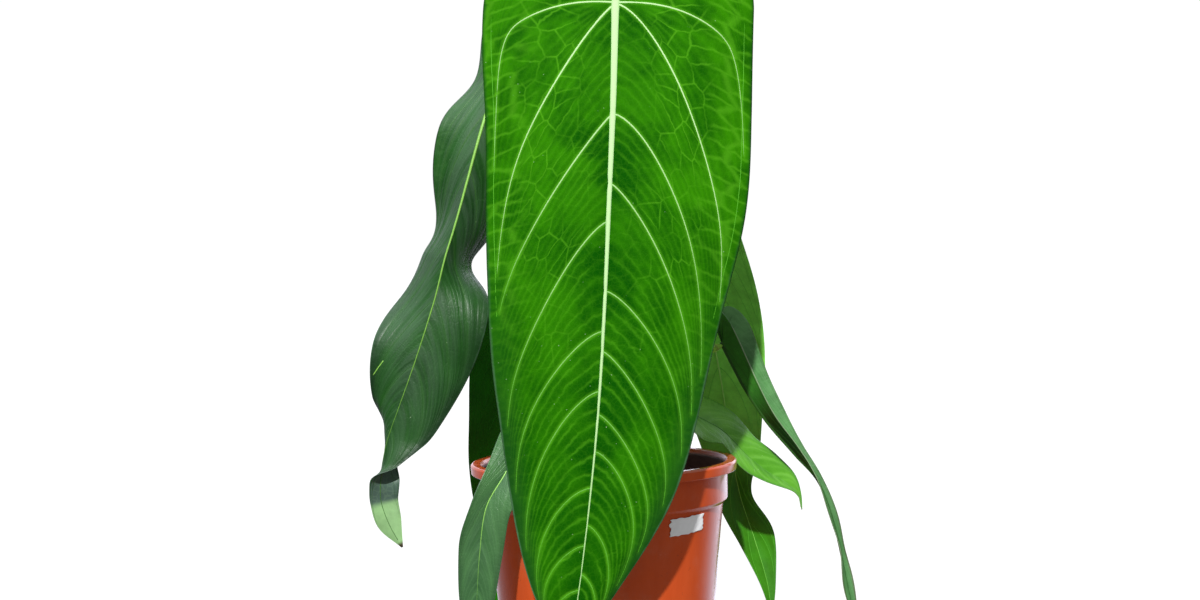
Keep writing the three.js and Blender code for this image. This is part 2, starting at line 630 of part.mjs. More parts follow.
// Bark chips, half sunk in the top of the mix
function barkChips() {
  const random = seeded(5);
  const tilt = () => radians(CHIP_TILT * (2 * random() - 1));
  const chips = [];
  for (let i = 0; i < CHIPS; i += 1) {
    const radius = 15 + 53 * Math.sqrt(random());
    const angle = i * GOLDEN_ANGLE;
    const chip = new THREE.BoxGeometry(...CHIP_LEAST.map((least, c) => least + CHIP_MORE[c] * random()));
    chip.rotateX(tilt());
    chip.rotateY(tilt());
    chip.rotateZ(2 * Math.PI * random());
    chip.translate(radius * Math.cos(angle), radius * Math.sin(angle), MIX_HEIGHT - 1 + 1.5 * random());
    chips.push(chip);
  }
  return chips;
}

// The potting mix: a filling that fits the pot, its chips, and the hole that the stem and roots stand in
function pottingMix() {
  const fit = POT_WALL + GAP;
  const profile = [
    [0, POT_FLOOR + GAP],
    [wallRadius(POT_FLOOR) - fit - 0.2, POT_FLOOR + GAP],
    [POT_SHOULDER_RADIUS - fit - 0.1, STEP_HEIGHT - 0.3],
    [POT_SHOULDER_RADIUS - fit - 0.1, MIX_HEIGHT - 3],
    [POT_SHOULDER_RADIUS - 12, MIX_HEIGHT - 1],
    [0, MIX_HEIGHT],
  ];
  return toGeometry(cut(joined(turned(profile), barkChips()), [stemBody(GAP), ...roots(GAP)]));
}

// The blank label: a strip with torn ends that follows the wall, a little lower on the left
function label() {
  const columns = 8;
  const rows = 3;
  const points = [];
  for (let r = 0; r <= rows; r += 1)
    for (let c = 0; c <= columns; c += 1) {
      const share = c / columns;
      const tear = c % columns === 0 ? LABEL_TEAR * (r % 2 ? 1 : -1) : 0;
      const around = radians(LABEL_FROM + (LABEL_TO - LABEL_FROM) * share + tear);
      const height = LABEL_LOW + ((LABEL_HIGH - LABEL_LOW) * r) / rows - LABEL_SAG * (1 - share);
      const radius = wallRadius(height) + GAP + LABEL_THICKNESS / 2;
      points.push(new THREE.Vector3(radius * Math.sin(around), -radius * Math.cos(around), height));
    }
  const half = points.map(() => LABEL_THICKNESS / 2);
  return thickened(points, half, half, sheetTriangles(rows, columns));
}

const plant = new THREE.Group();

function addPiece(name, geometry, color, roughness) {
  const material = new THREE.MeshStandardMaterial({ color, roughness, metalness: 0 });
  const mesh = new THREE.Mesh(geometry, material);
  mesh.name = name;
  plant.add(mesh);
}

addPiece("pot", pot(), COLOURS.pot, 0.45);
addPiece("label", label(), COLOURS.label, 0.8);
addPiece("potting_mix", pottingMix(), COLOURS.mix, 0.95);
addPiece("stem", stem(), COLOURS.stem, 0.85);
for (const [name, leaf] of Object.entries(LEAVES)) {
  addPiece(`petiole_${name}`, petiole(leaf), COLOURS.petiole, 0.5);
  addPiece(`blade_${name}`, blade(leaf), COLOURS.blade, 0.55);
}

export default plant;
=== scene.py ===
import math
import random

import bmesh
import bpy
import numpy as np
from mathutils import Matrix, Vector


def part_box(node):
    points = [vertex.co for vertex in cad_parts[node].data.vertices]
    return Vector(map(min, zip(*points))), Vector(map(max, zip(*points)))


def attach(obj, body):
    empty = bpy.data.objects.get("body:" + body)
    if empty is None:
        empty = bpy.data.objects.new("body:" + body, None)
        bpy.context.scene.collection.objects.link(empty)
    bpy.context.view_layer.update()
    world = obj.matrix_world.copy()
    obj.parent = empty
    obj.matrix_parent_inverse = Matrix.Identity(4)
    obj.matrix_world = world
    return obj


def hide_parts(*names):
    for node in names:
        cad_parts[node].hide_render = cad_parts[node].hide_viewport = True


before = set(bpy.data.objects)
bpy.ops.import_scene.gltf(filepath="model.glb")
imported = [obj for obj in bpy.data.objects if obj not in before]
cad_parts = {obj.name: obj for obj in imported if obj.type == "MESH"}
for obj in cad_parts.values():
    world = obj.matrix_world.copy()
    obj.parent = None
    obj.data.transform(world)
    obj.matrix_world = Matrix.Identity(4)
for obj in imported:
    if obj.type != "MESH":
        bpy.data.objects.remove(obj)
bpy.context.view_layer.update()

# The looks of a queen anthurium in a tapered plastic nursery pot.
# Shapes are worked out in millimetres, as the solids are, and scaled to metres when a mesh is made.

MM = 0.001
BODY = "root"
GAP = 0.3  # between touching pieces
AXIS = (0, 0)  # of the pot

# The pot, from its solid's box
_, POT_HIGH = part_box("pot")
RIM_RADIUS = POT_HIGH.x / MM
POT_TOP = POT_HIGH.z / MM
FOOT_RADIUS = 67
SHOULDER_RADIUS = 80.2
COLLAR_RADIUS = 83.4
STEP_HEIGHT = 131
COLLAR_FOOT = 134
RIM_DEPTH = 7
POT_WALL = 1.5
POT_FLOOR = 2
DRAIN_HOLES = 8
DRAIN_RADIUS = 5
DRAIN_CIRCLE = 50

# What the pot holds
MIX_HEIGHT = 137
STEM_RADIUS = 9.5
STEM_FOOT = 104
STEM_TOP = 214
STEM_BUD = 8
STEM = (0, 3)  # where its axis stands
SCAR_RINGS = 9
ROOT_RADIUS = 2.1
ROOT_AZIMUTHS = [-62, -20, 62, 100, 152, 205]
SHEATHS = [[-145, 173, 30], [100, 177, 34], [-38, 187, 28], [20, 190, 25]]  # azimuth, foot, height
SHEATH_ROWS = 30
SHEATH_COLUMNS = 26
SHEATH_FIBRES = 14

# The leaves
TIP_HALF_WIDTH = 0.6
LOBE_CROWN = 0.5
KNEE_LENGTH = 11
LEAF_THICKNESS = 0.6
MARGIN_THICKNESS = 0.35
SPECK_COLOUR = (0.45, 0.6, 0.35)
# painted sheen: a greyer green that stands in for a reflection, in streaks
PAINTED_SHEEN_COLOUR = (0.1, 0.17, 0.11)
# painted sheen along the leaf's edge
SHEEN_LIP_COLOUR = (0.09, 0.2, 0.1)
DRY_TIP_COLOUR = (0.05, 0.035, 0.015)

# Each leaf, in step with its solid: the lobes' height, the margin's wave (height, waves, start), the ridge
# under the midrib, the petiole's foot (height, azimuth), radii and route, and the knots. A knot holds its
# place, the way the upper face looks, and the folds, curls (degrees) and half widths of the left and the
# right half. The grid is this script's own: the sheet's rows and strips.
LEAVES = {
    "front": dict(
        lobe=53, wave=(2.2, 2.5, 0.5), ridge=2, grid=(280, 60), foot=(200, -88), radius=(4.6, 2.7, 3.6),
        via=[(6, -30, 240), (9, -44, 310), (12, -52, 390), (14, -55, 440)],
        knots=[
            (17, -74, 512, 0, -1, 0.3, 4, 4, -30, -30, 84, 89),
            (14, -93, 461, 0, -1, 0.3, 7, 7, -34, -34, 86, 90),
            (11, -113, 398, 0.02, -1, 0.25, 9, 9, -38, -36, 83, 91),
            (7, -126, 336, 0.02, -1, 0.15, 9, 9, -38, -34, 80, 87),
            (3, -133, 275, 0, -1, 0.05, 9, 9, -38, -38, 74, 77),
            (-2, -137, 213, -0.02, -1, 0, 8, 8, -38, -40, 68, 66),
            (-9, -138, 152, -0.05, -1, 0, 8, 8, -36, -40, 53, 50),
            (-18, -136, 90, -0.08, -1, -0.05, 10, 10, -30, -36, 28, 21),
            (-26, -131, 50, -0.1, -1, -0.1, 14, 14, -20, -20, 0.6, 0.6),
        ],
    ),
    "left": dict(
        lobe=30, wave=(3, 3, 1.2), ridge=1.5, grid=(260, 30), foot=(192, 170), radius=(4.2, 2.4, 3.1),
        via=[(-24, 2, 235), (-30, 6, 310), (-36, 8, 390), (-40, 6, 440)],
        knots=[
            (-38, -2, 492, -0.55, -0.7, 0.45, 0, 0, -20, -20, 38, 42),
            (-49, -18, 463, -0.55, -0.7, 0.45, -6, -6, -24, -24, 38, 43),
            (-62, -33, 423, -0.5, -0.8, 0.35, -10, -24, -14, -20, 26, 43),
            (-75, -45, 383, -0.4, -0.9, 0.2, -2, -40, 4, -20, 32, 42),
            (-91, -54, 328, -0.3, -0.95, 0.1, -40, -52, -18, -24, 35, 38),
            (-100, -58, 300, -0.25, -1, 0.1, -38, -60, -18, -22, 40, 33),
            (-107, -60, 274, -0.2, -1, 0.1, -26, -12, -20, -24, 36.5, 36),
            (-120, -61, 236, -0.1, -1, 0.1, -8, -6, -16, -28, 32, 37),
            (-133, -59, 202, -0.3, -1, 0.1, -10, -2, -24, -26, 24, 30),
            (-140, -56, 184, -0.6, -0.8, 0.1, -14, -4, -54, -34, 17, 23),
            (-144, -54, 168, -1, -0.1, 0.1, -6, -6, -74, -70, 14, 14),
            (-146, -54, 155, -0.5, 0.9, 0, 0, 0, -34, -30, 13, 8),
            (-146, -53, 142, -0.3, 1, 0, 4, 4, -10, -10, 11.5, 7),
            (-141, -53, 127, -0.05, 1, 0.15, 8, 8, -5, -5, 8.5, 7.5),
            (-133, -53, 112, 0.1, 1, 0.3, 14, 14, 0, 0, 0.6, 0.6),
        ],
    ),
    "back_left": dict(
        lobe=22, wave=(1.6, 3, 0.4), ridge=1.3, grid=(160, 24), foot=(168, 128), radius=(3.8, 2.1, 2.8),
        via=[(-17, 20, 196), (-26, 27, 238), (-33, 31, 278)],
        knots=[
            (-40, 32, 318, -0.4, 0.8, 0.4, 0, 0, -20, -20, 29, 22),
            (-46, 50, 296, -0.4, 0.8, 0.4, 6, 6, -24, -24, 30, 24),
            (-58, 76, 255, -0.4, 0.9, 0.3, 8, 8, -26, -26, 32, 29),
            (-67, 92, 210, -0.35, 1, 0.1, 8, 8, -26, -26, 31, 30),
            (-71, 99, 162, -0.35, 1, 0, 8, 8, -24, -24, 28, 28),
            (-74, 100, 110, -0.35, 1, -0.1, 8, 8, -24, -24, 22, 21),
            (-79, 96, 64, -0.4, 1, -0.1, 12, 12, -10, -10, 11, 11),
            (-83, 90, 36, -0.4, 1, -0.2, 14, 14, 0, 0, 0.6, 0.6),
        ],
    ),
    "low_left": dict(
        lobe=14, wave=(1.4, 2.5, 0), ridge=1.1, grid=(140, 20), foot=(160, -128), radius=(3.4, 1.9, 2.4),
        via=[(-22, -30, 188)],
        knots=[
            (-28, -42, 218, -0.3, -0.6, 0.8, 20, 6, -10, -10, 14, 18),
            (-37, -55, 207, -0.3, -0.6, 0.8, 24, 8, -12, -12, 14, 19),
            (-51, -80, 187, -0.35, -0.7, 0.6, 38, 8, -14, -16, 14, 19),
            (-62, -93, 165, -0.35, -0.85, 0.4, 46, 8, -10, -16, 13, 18),
            (-75, -97, 143, -0.3, -0.95, 0.2, 50, 10, -6, -16, 11.5, 17),
            (-80, -96, 113, -0.25, -1, 0, 14, 10, -16, -16, 14, 15),
            (-83, -92, 80, -0.2, -1, -0.1, 12, 12, -14, -14, 11, 11),
            (-86, -86, 42, -0.2, -1, -0.2, 16, 16, 0, 0, 0.6, 0.6),
        ],
    ),
    "back_right": dict(
        lobe=26, wave=(2, 3, 2), ridge=1.4, grid=(200, 28), foot=(184, 52), radius=(3.9, 2.2, 2.9),
        via=[(16, 24, 222), (26, 34, 275), (34, 40, 322)],
        knots=[
            (45, 44, 366, 0.5, 0.7, 0.5, 0, 0, -20, -20, 40, 36),
            (53, 62, 342, 0.45, 0.8, 0.4, 6, 6, -24, -24, 42, 38),
            (65, 80, 299, 0.35, 0.9, 0.3, 8, 8, -30, -26, 44, 38),
            (76, 90, 256, 0.3, 1, 0.2, 8, 8, -30, -26, 40, 36),
            (85, 96, 210, 0.25, 1, 0.1, 6, 6, -24, -24, 35, 32),
            (92, 101, 160, 0.35, 1, 0, -12, -8, -24, -24, 27, 22),
            (98, 102, 122, 0.55, 1, 0, -34, -24, -14, -14, 20, 18),
            (108, 99, 88, 0.3, 1, 0, 4, 4, -14, -14, 16, 12),
            (116, 95, 58, 0.3, 1, 0, 10, 10, -10, -10, 6.5, 6),
            (119, 92, 33, 0.3, 1, -0.2, 16, 16, 0, 0, 0.6, 0.6),
        ],
    ),
    "mid_right": dict(
        lobe=22, wave=(0.6, 3, 0), ridge=1.2, grid=(180, 16), foot=(176, -12), radius=(3.6, 2, 2.6),
        via=[(39, 8, 211), (57, 17, 224)],
        knots=[
            (73, 19, 262, 0.9, -0.12, 0.35, 70, 68, -10, 0, 13, 22),
            (83, 21, 236, 0.88, -0.14, 0.4, 72, 70, -10, 0, 13, 23),
            (98, 23, 205, 0.84, -0.16, 0.5, 74, 70, -10, 0, 11, 19),
            (113, 24, 181, 0.8, -0.14, 0.6, 74, 70, -8, 0, 8, 15),
            (130, 24, 160, 0.7, -0.1, 0.7, 74, 70, 0, 0, 5.5, 9),
            (146, 23, 141, 0.6, -0.7, 0.45, 50, 50, 0, 0, 4, 4.2),
            (155, 21, 119, 0.5, -0.85, 0.2, 30, 30, 0, 0, 3.8, 4.2),
            (161, 19, 93, 0.85, -0.5, 0.2, 24, 24, 0, 0, 4.8, 4.4),
            (166, 16, 65, 0.4, -0.9, 0.2, 20, 20, 0, 0, 4.6, 4.6),
            (172, 13, 34, 0.6, -0.8, 0.2, 20, 20, 0, 0, 0.6, 0.6),
        ],
    ),
    "low_right": dict(
        lobe=13, wave=(1, 2.5, 1), ridge=1.1, grid=(110, 22), foot=(152, 18), radius=(3.3, 1.8, 2.3),
        via=[(31, 13, 180)],
        knots=[
            (32, 4, 205, 0.3, -0.35, 0.85, 6, 6, -10, -10, 16, 16),
            (45, 11, 197, 0.3, -0.4, 0.85, 8, 8, -14, -14, 22, 21),
            (66, 24, 185, 0.35, -0.5, 0.75, 8, 8, -16, -16, 23, 25),
            (83, 34, 174, 0.35, -0.55, 0.75, 12, 10, -14, -16, 16, 25),
            (99, 38, 157, 0.4, -0.55, 0.7, 12, 12, -16, -16, 16, 21),
            (113, 38, 145, 0.5, -0.55, 0.6, 12, 12, -16, -16, 12, 19),
            (126, 35, 137, 0.6, -0.6, 0.5, 12, 12, -14, -14, 8, 13),
            (134, 32, 129, 0.8, -0.5, 0.3, 16, 16, 0, 0, 2.2, 3.4),
            (136, 29, 119, 0.9, -0.4, 0.1, 20, 20, 0, 0, 0.6, 0.6),
        ],
    ),
}


# Camera: 1.5 m in front of the pot's axis, 6.8 degrees above the rim, rolled a little
CAMERA_DISTANCE = 1500
RIM_DROP = math.radians(6.8)  # the rim's angle below the horizon, seen from the camera
MM_PER_PIXEL = 0.674  # at the pot's axis
FRAME_WIDTH = 1200
RIM_BELOW_CENTRE = 160  # pixels from the frame's centre down to the rim's centre
CAMERA_ROLL = math.radians(1.3)


def linked(name, data):
    """A new object in the scene."""
    made = bpy.data.objects.new(name, data)
    bpy.context.scene.collection.objects.link(made)
    return made


def make_camera():
    focal = CAMERA_DISTANCE / MM_PER_PIXEL
    pitch = RIM_DROP - math.atan(RIM_BELOW_CENTRE / focal)
    data = bpy.data.cameras.new("camera")
    data.sensor_width = 36
    data.lens = focal * data.sensor_width / FRAME_WIDTH
    camera = linked("camera", data)
    height = POT_TOP + CAMERA_DISTANCE * math.tan(RIM_DROP)
    turn = Matrix.Rotation(math.pi / 2 - pitch, 4, "X") @ Matrix.Rotation(-CAMERA_ROLL, 4, "Z")
    camera.matrix_world = Matrix.Translation((0, -CAMERA_DISTANCE * MM, height * MM)) @ turn
    bpy.context.scene.camera = camera


# Materials
def arithmetic(operation):
    return lambda self, other: self.look.maths(operation, self, other)


class Value:
    """What a node of a look puts out. Arithmetic with it makes Math nodes."""

    __add__ = arithmetic("ADD")
    __sub__ = arithmetic("SUBTRACT")
    __mul__ = arithmetic("MULTIPLY")

    def __init__(self, look, socket):
        self.look = look
        self.socket = socket

    def clipped(self):
        """The same value, kept between 0 and 1."""
        self.socket.node.use_clamp = True
        return self


class Look:
    """A material with one Principled shader, whose nodes are made by short calls."""

    def __init__(self, name, roughness=0.5, specular=0.5):
        self.material = bpy.data.materials.new(name)
        self.material.use_nodes = True
        self.nodes = self.material.node_tree.nodes
        self.shader = self.nodes["Principled BSDF"]
        self.set("Roughness", roughness)
        self.set("Specular IOR Level", specular)

    def set(self, socket, value):
        self.feed(self.shader.inputs[socket], value)

    def feed(self, socket, value):
        if isinstance(value, Value):
            self.material.node_tree.links.new(value.socket, socket)
        elif socket.type == "RGBA":
            socket.default_value = (*value, 1)
        else:
            socket.default_value = value

    def node(self, kind, inputs, output=0, **settings):
        made = self.nodes.new("ShaderNode" + kind)
        for setting, value in settings.items():
            setattr(made, setting, value)
        for socket, value in inputs.items():
            self.feed(made.inputs[socket], value)
        return Value(self, made.outputs[output])

    def maths(self, operation, first, second=0.0):
        return self.node("Math", {0: first, 1: second}, operation=operation)

    def mix(self, share, first, second):
        return self.node("Mix", {0: share, 6: first, 7: second}, 2, data_type="RGBA")

    def between(self, value, low, high, start=0.0, end=1.0):
        """A smooth step from start, where the value is low, to end, where it is high."""
        inputs = {"Value": value, "From Min": low, "From Max": high, "To Min": start, "To Max": end}
        return self.node("MapRange", inputs, interpolation_type="SMOOTHSTEP")

    def where(self, stretch=(1, 1, 1)):
        place = self.node("TexCoord", {}, "Object")
        return self.node("Mapping", {"Vector": place, "Scale": stretch})

    def noise(self, where, scale, detail=3.0, roughness=0.55):
        inputs = {"Vector": where, "Scale": scale, "Detail": detail, "Roughness": roughness}
        return self.node("TexNoise", inputs)

    def cells(self, where, scale, randomness=1.0, feature="DISTANCE_TO_EDGE", dimensions="3D"):
        inputs = {"Vector": where, "Scale": scale, "Randomness": randomness}
        return self.node("TexVoronoi", inputs, "Distance", feature=feature, voronoi_dimensions=dimensions)

    def attribute(self, name, output="Fac"):
        return self.node("Attribute", {}, output, attribute_name=name)

    def split(self, vector):
        outputs = self.node("SeparateXYZ", {0: vector}).socket.node.outputs
        return [Value(self, output) for output in outputs]

    def join(self, x, y, z):
        return self.node("CombineXYZ", {0: x, 1: y, 2: z})

    def painted(self, colour, height, depth, strength):
        """The material, with its colour and a bump that is so many millimetres deep."""
        self.set("Base Color", colour)
        bump = {"Height": height, "Distance": depth * MM, "Strength": strength}
        self.set("Normal", self.node("Bump", bump))
        return self.material


# Meshes
def mesh_object(name, points, faces, materials=()):
    """An object with a mesh, from points in millimetres."""
    mesh = bpy.data.meshes.new(name)
    mesh.from_pydata((np.asarray(points, float) * MM).tolist(), [], [list(map(int, f)) for f in faces])
    for material in materials:
        mesh.materials.append(material)
    return linked(name, mesh)


class Shell:
    """Points, faces and fields that are gathered from several closed solids into one piece."""

    def __init__(self):
        self.points = []
        self.faces = []
        self.indices = []
        self.fields = {}
        self.count = 0

    def add(self, points, faces, index=0, **fields):
        """One more solid, with a material index for each face and fields with values for each point."""
        self.points.append(points)
        self.faces += [[self.count + i for i in face] for face in faces]
        self.indices += [index] * len(faces) if np.isscalar(index) else list(index)
        for name, values in fields.items():
            values = np.broadcast_to(np.asarray(values, float), (len(points), *np.shape(values)[1:]))
            self.fields.setdefault(name, []).append(values)
        self.count += len(points)

    def piece(self, name, materials, slot, nodes, smooth=True):
        piece = mesh_object(name, np.concatenate(self.points), self.faces, materials)
        mesh = piece.data
        mesh.polygons.foreach_set("material_index", np.asarray(self.indices, np.int32))
        mesh.polygons.foreach_set("use_smooth", np.full(len(mesh.polygons), smooth))
        for field, parts in self.fields.items():
            values = np.concatenate(parts).astype(np.float32)
            kind, key = ("FLOAT_VECTOR", "vector") if values.ndim == 2 else ("FLOAT", "value")
            mesh.attributes.new(field, kind, "POINT").data.foreach_set(key, values.ravel())
        mesh.update()
        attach(piece, BODY)
        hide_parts(*nodes)
        return piece


def unit(vectors):
    return vectors / np.maximum(np.linalg.norm(vectors, axis=-1, keepdims=True), 1e-12)


def around(axis, radius, angle, height):
    """The point at an angle round a vertical axis."""
    return np.array([axis[0] + radius * math.cos(angle), axis[1] + radius * math.sin(angle), height])


def through(rows, u):
    """The values at each u, from 0 to 1, of a smooth curve through rows of numbers."""
    rows = np.asarray(rows, float)
    last = len(rows) - 1
    padded = np.vstack([2 * rows[0] - rows[1], rows, 2 * rows[-1] - rows[-2]])
    i = np.minimum((u * last).astype(int), last - 1)
    w = (u * last - i)[:, None]
    before, start, end, after = (padded[i + k] for k in range(4))
    leave = (end - before) / 2
    arrive = (after - start) / 2
    bend = 3 * (end - start) - 2 * leave - arrive
    turn = 2 * (start - end) + leave + arrive
    return start + w * (leave + w * (bend + w * turn))


def quads(table):
    """The quads between neighbours in a table of point numbers."""
    return np.stack([table[:-1, :-1], table[:-1, 1:], table[1:, 1:], table[1:, :-1]], -1).reshape(-1, 4)


def grid_faces(rows, columns, closed=False):
    """The quads of a sheet of points laid out in rows. A closed one joins its last column to its first."""
    table = np.arange(rows * columns).reshape(rows, columns)
    return quads(np.hstack([table, table[:, :1]]) if closed else table)


def ring(sides):
    return np.linspace(0, 2 * np.pi, sides, endpoint=False)


def tube(places, side, up, wide, high, sides):
    """Points and faces of a closed tube with flat caps, from its half sizes at each place."""
    out = (np.cos(ring(sides)) * wide)[..., None]
    rise = (np.sin(ring(sides)) * high)[..., None]
    points = places[:, None] + side[:, None] * out + up[:, None] * rise
    faces = grid_faces(len(places), sides, closed=True).tolist()
    faces.append(list(range(sides))[::-1])
    faces.append([(len(places) - 1) * sides + s for s in range(sides)])
    return points.reshape(-1, 3), faces


def rod(shell, route, radius_at, sides, steps, index=0, **fields):
    """A closed rod along a smooth route, with its radius given along it from 0 to 1."""
    u = np.linspace(0, 1, steps + 1)
    places = through(route, u)
    tangents = unit(np.gradient(places, axis=0))
    side = np.zeros_like(places)
    start = np.array([0, 0, 1.0]) if abs(tangents[0, 2]) < 0.8 else np.array([1.0, 0, 0])
    for i, tangent in enumerate(tangents):
        start = unit(start - tangent * start.dot(tangent))
        side[i] = start
    radius = np.reshape(radius_at(u) if callable(radius_at) else radius_at, (-1, 1))
    points, faces = tube(places, side, np.cross(tangents, side), radius, radius, sides)
    spread = {name: np.repeat(value(u), sides) for name, value in fields.items()}
    shell.add(points, faces, index, **spread)


def thickened(points, normals, half, faces):
    """A closed solid from an open sheet, and which faces are upper (0) or lower and edge (1)."""
    n = len(points)
    offset = normals * np.reshape(half, (-1, 1))
    edges = np.concatenate([faces[:, [k, (k + 1) % 4]] for k in range(4)])
    keys = edges[:, 0] * n + edges[:, 1]
    back = edges[:, 1] * n + edges[:, 0]
    a, b = edges[~np.isin(back, keys)].T
    walls = np.stack([b, a, a + n, b + n], -1)
    solid_faces = np.concatenate([faces, faces[:, ::-1] + n, walls])
    sides = np.repeat([0, 1], [len(faces), len(faces) + len(walls)])
    return np.concatenate([points + offset, points - offset]), solid_faces.tolist(), sides


def upright_sheet(point_at, rows, columns, half, axis):
    """A thin closed solid from a sheet of points that stands round a vertical axis."""
    points = np.array([point_at(r, c) for r in range(rows + 1) for c in range(columns + 1)])
    normals = unit((points - np.array([*axis, 0])) * np.array([1, 1, 0]))
    return thickened(points, normals, half, grid_faces(rows + 1, columns + 1))[:2]


# Veins. A lateral leaves the midrib at start and meets the vein that follows the margin at share reach of
# the half width. Between them it lies start + rise * share ** bend + sweep * (share / reach) ** turn along.
# These are those of the front leaf's left and right half.
FRONT_VEINS = (
    [
        (1, 30, 2.5, 85, 20, 0.93), (2, 145, 1.2, 47, 10, 0.91), (75, 130, 1.1, 12, 10, 0.9),
        (143, 137, 1.35, 12, 10, 0.91), (211, 106, 1.5, 14, 12, 0.91), (248, 112, 1.5, 8, 12, 0.9),
        (308, 78, 1.6, 8, 12, 0.9), (344, 50, 1.5, 8, 12, 0.88), (372, 34, 1.5, 5, 12, 0.86),
    ],
    [
        (1, 38, 2.7, 62, 20, 0.945), (2, 190, 1.6, 12, 10, 0.95), (75, 168, 1.55, 10, 10, 0.93),
        (119, 140, 1.27, 14, 10, 0.92), (186, 94, 1.4, 14, 10, 0.92), (223, 90, 1.25, 12, 10, 0.91),
        (262, 80, 1.3, 12, 10, 0.91), (285, 84, 1.5, 10, 10, 0.9), (331, 66, 1.5, 6, 10, 0.9),
        (362, 40, 1.5, 6, 12, 0.86),
    ],
)
INTERPRIMARY_PITCH = 16  # between the fine veins that lie between two laterals
RUNGS = 42  # cross veins between the outer laterals and the margin, over the blade's length
SIDES = (-1, 1)  # left and right of the midrib
MARGIN_VEIN = 0.925  # share of the half width at which a vein follows the margin
FAR = 100.0  # more than any distance to a vein
MIDDLE = 0.45  # share of the half width at which the space between two laterals is measured


def lateral(vein, share):
    start, rise, bend, sweep, turn, reach = vein
    return start + rise * share**bend + sweep * (share / reach) ** turn


def even_veins(name, count):
    """Laterals of a smaller leaf's two halves, spaced by a rule."""
    length = Blade(LEAVES[name]).length
    veins = [(1, 0.09 * length, 2.5, 0.2 * length, 16, 0.92)]
    for k in range(count):
        start = 2 + 0.9 * length * (k / count) ** 1.1
        rise = length * (0.1 + 0.24 * (1 - start / length))
        veins.append((start, min(rise, 0.85 * (length - start)), 1.35, 0.03 * length, 10, 0.9))
    return veins, veins


def distance_to(paths, along, across):
    """Millimetres from each point of half a blade to the nearest of its paths."""
    nearest = np.full(along.shape, FAR)
    for path in paths:
        corners = np.stack(path, -1)
        for (a, x), (da, dx) in zip(corners, np.diff(corners, axis=0)):
            t = ((along - a) * da + (across - x) * dx) / max(da * da + dx * dx, 1e-9)
            t = np.clip(t, 0, 1)
            nearest = np.minimum(nearest, np.hypot(along - a - t * da, across - x - t * dx))
    return nearest


def rank_fields(veins, share, along):
    """How many fine lines a point lies down the blade from the first lateral, and millimetres a line."""
    starts = np.array([lateral(vein, MIDDLE) for vein in veins])
    counts = np.maximum(1, np.round(np.diff(starts) / INTERPRIMARY_PITCH))
    share = np.clip(share, 0, 0.9)
    at = [lateral(vein, share) for vein in veins]
    rank = (np.minimum(along - at[0], 0) + np.maximum(along - at[-1], 0)) / INTERPRIMARY_PITCH
    pitch = np.full(share.shape, float(INTERPRIMARY_PITCH))
    for above, below, count in zip(at, at[1:], counts):
        width = np.maximum(below - above, 0.1)
        rank += count * np.clip((along - above) / width, 0, 1)
        pitch = np.where((along > above) & (along < below), width / count, pitch)
    return rank, pitch


# Leaf surfaces
HALF_LAG = 2.1  # radians by which the right margin's wave is ahead of the left one's
FULL_WAVE_WIDTH = 20  # half widths below this have a lower wave
VEIN_GROOVE = 0.5  # how deep a lateral lies in the upper face
GROOVE_WIDTH = 2.6
RIPPLE = 0.12  # height of the fine ripples between laterals
QUILT_HEIGHT = 0.35
QUILT_WIDTH = 9
MIDRIB_WIDTH = 7  # the strip beside the midrib without quilting
FLAT_RIM = 0.08  # share of the half width over which the relief fades
THIN_RIM = 3  # millimetres over which the blade thins towards its edge
CROSS_UNIT = 12  # millimetres across the blade for a unit of the net
SEAM = 1e-4  # between the halves of the lobes


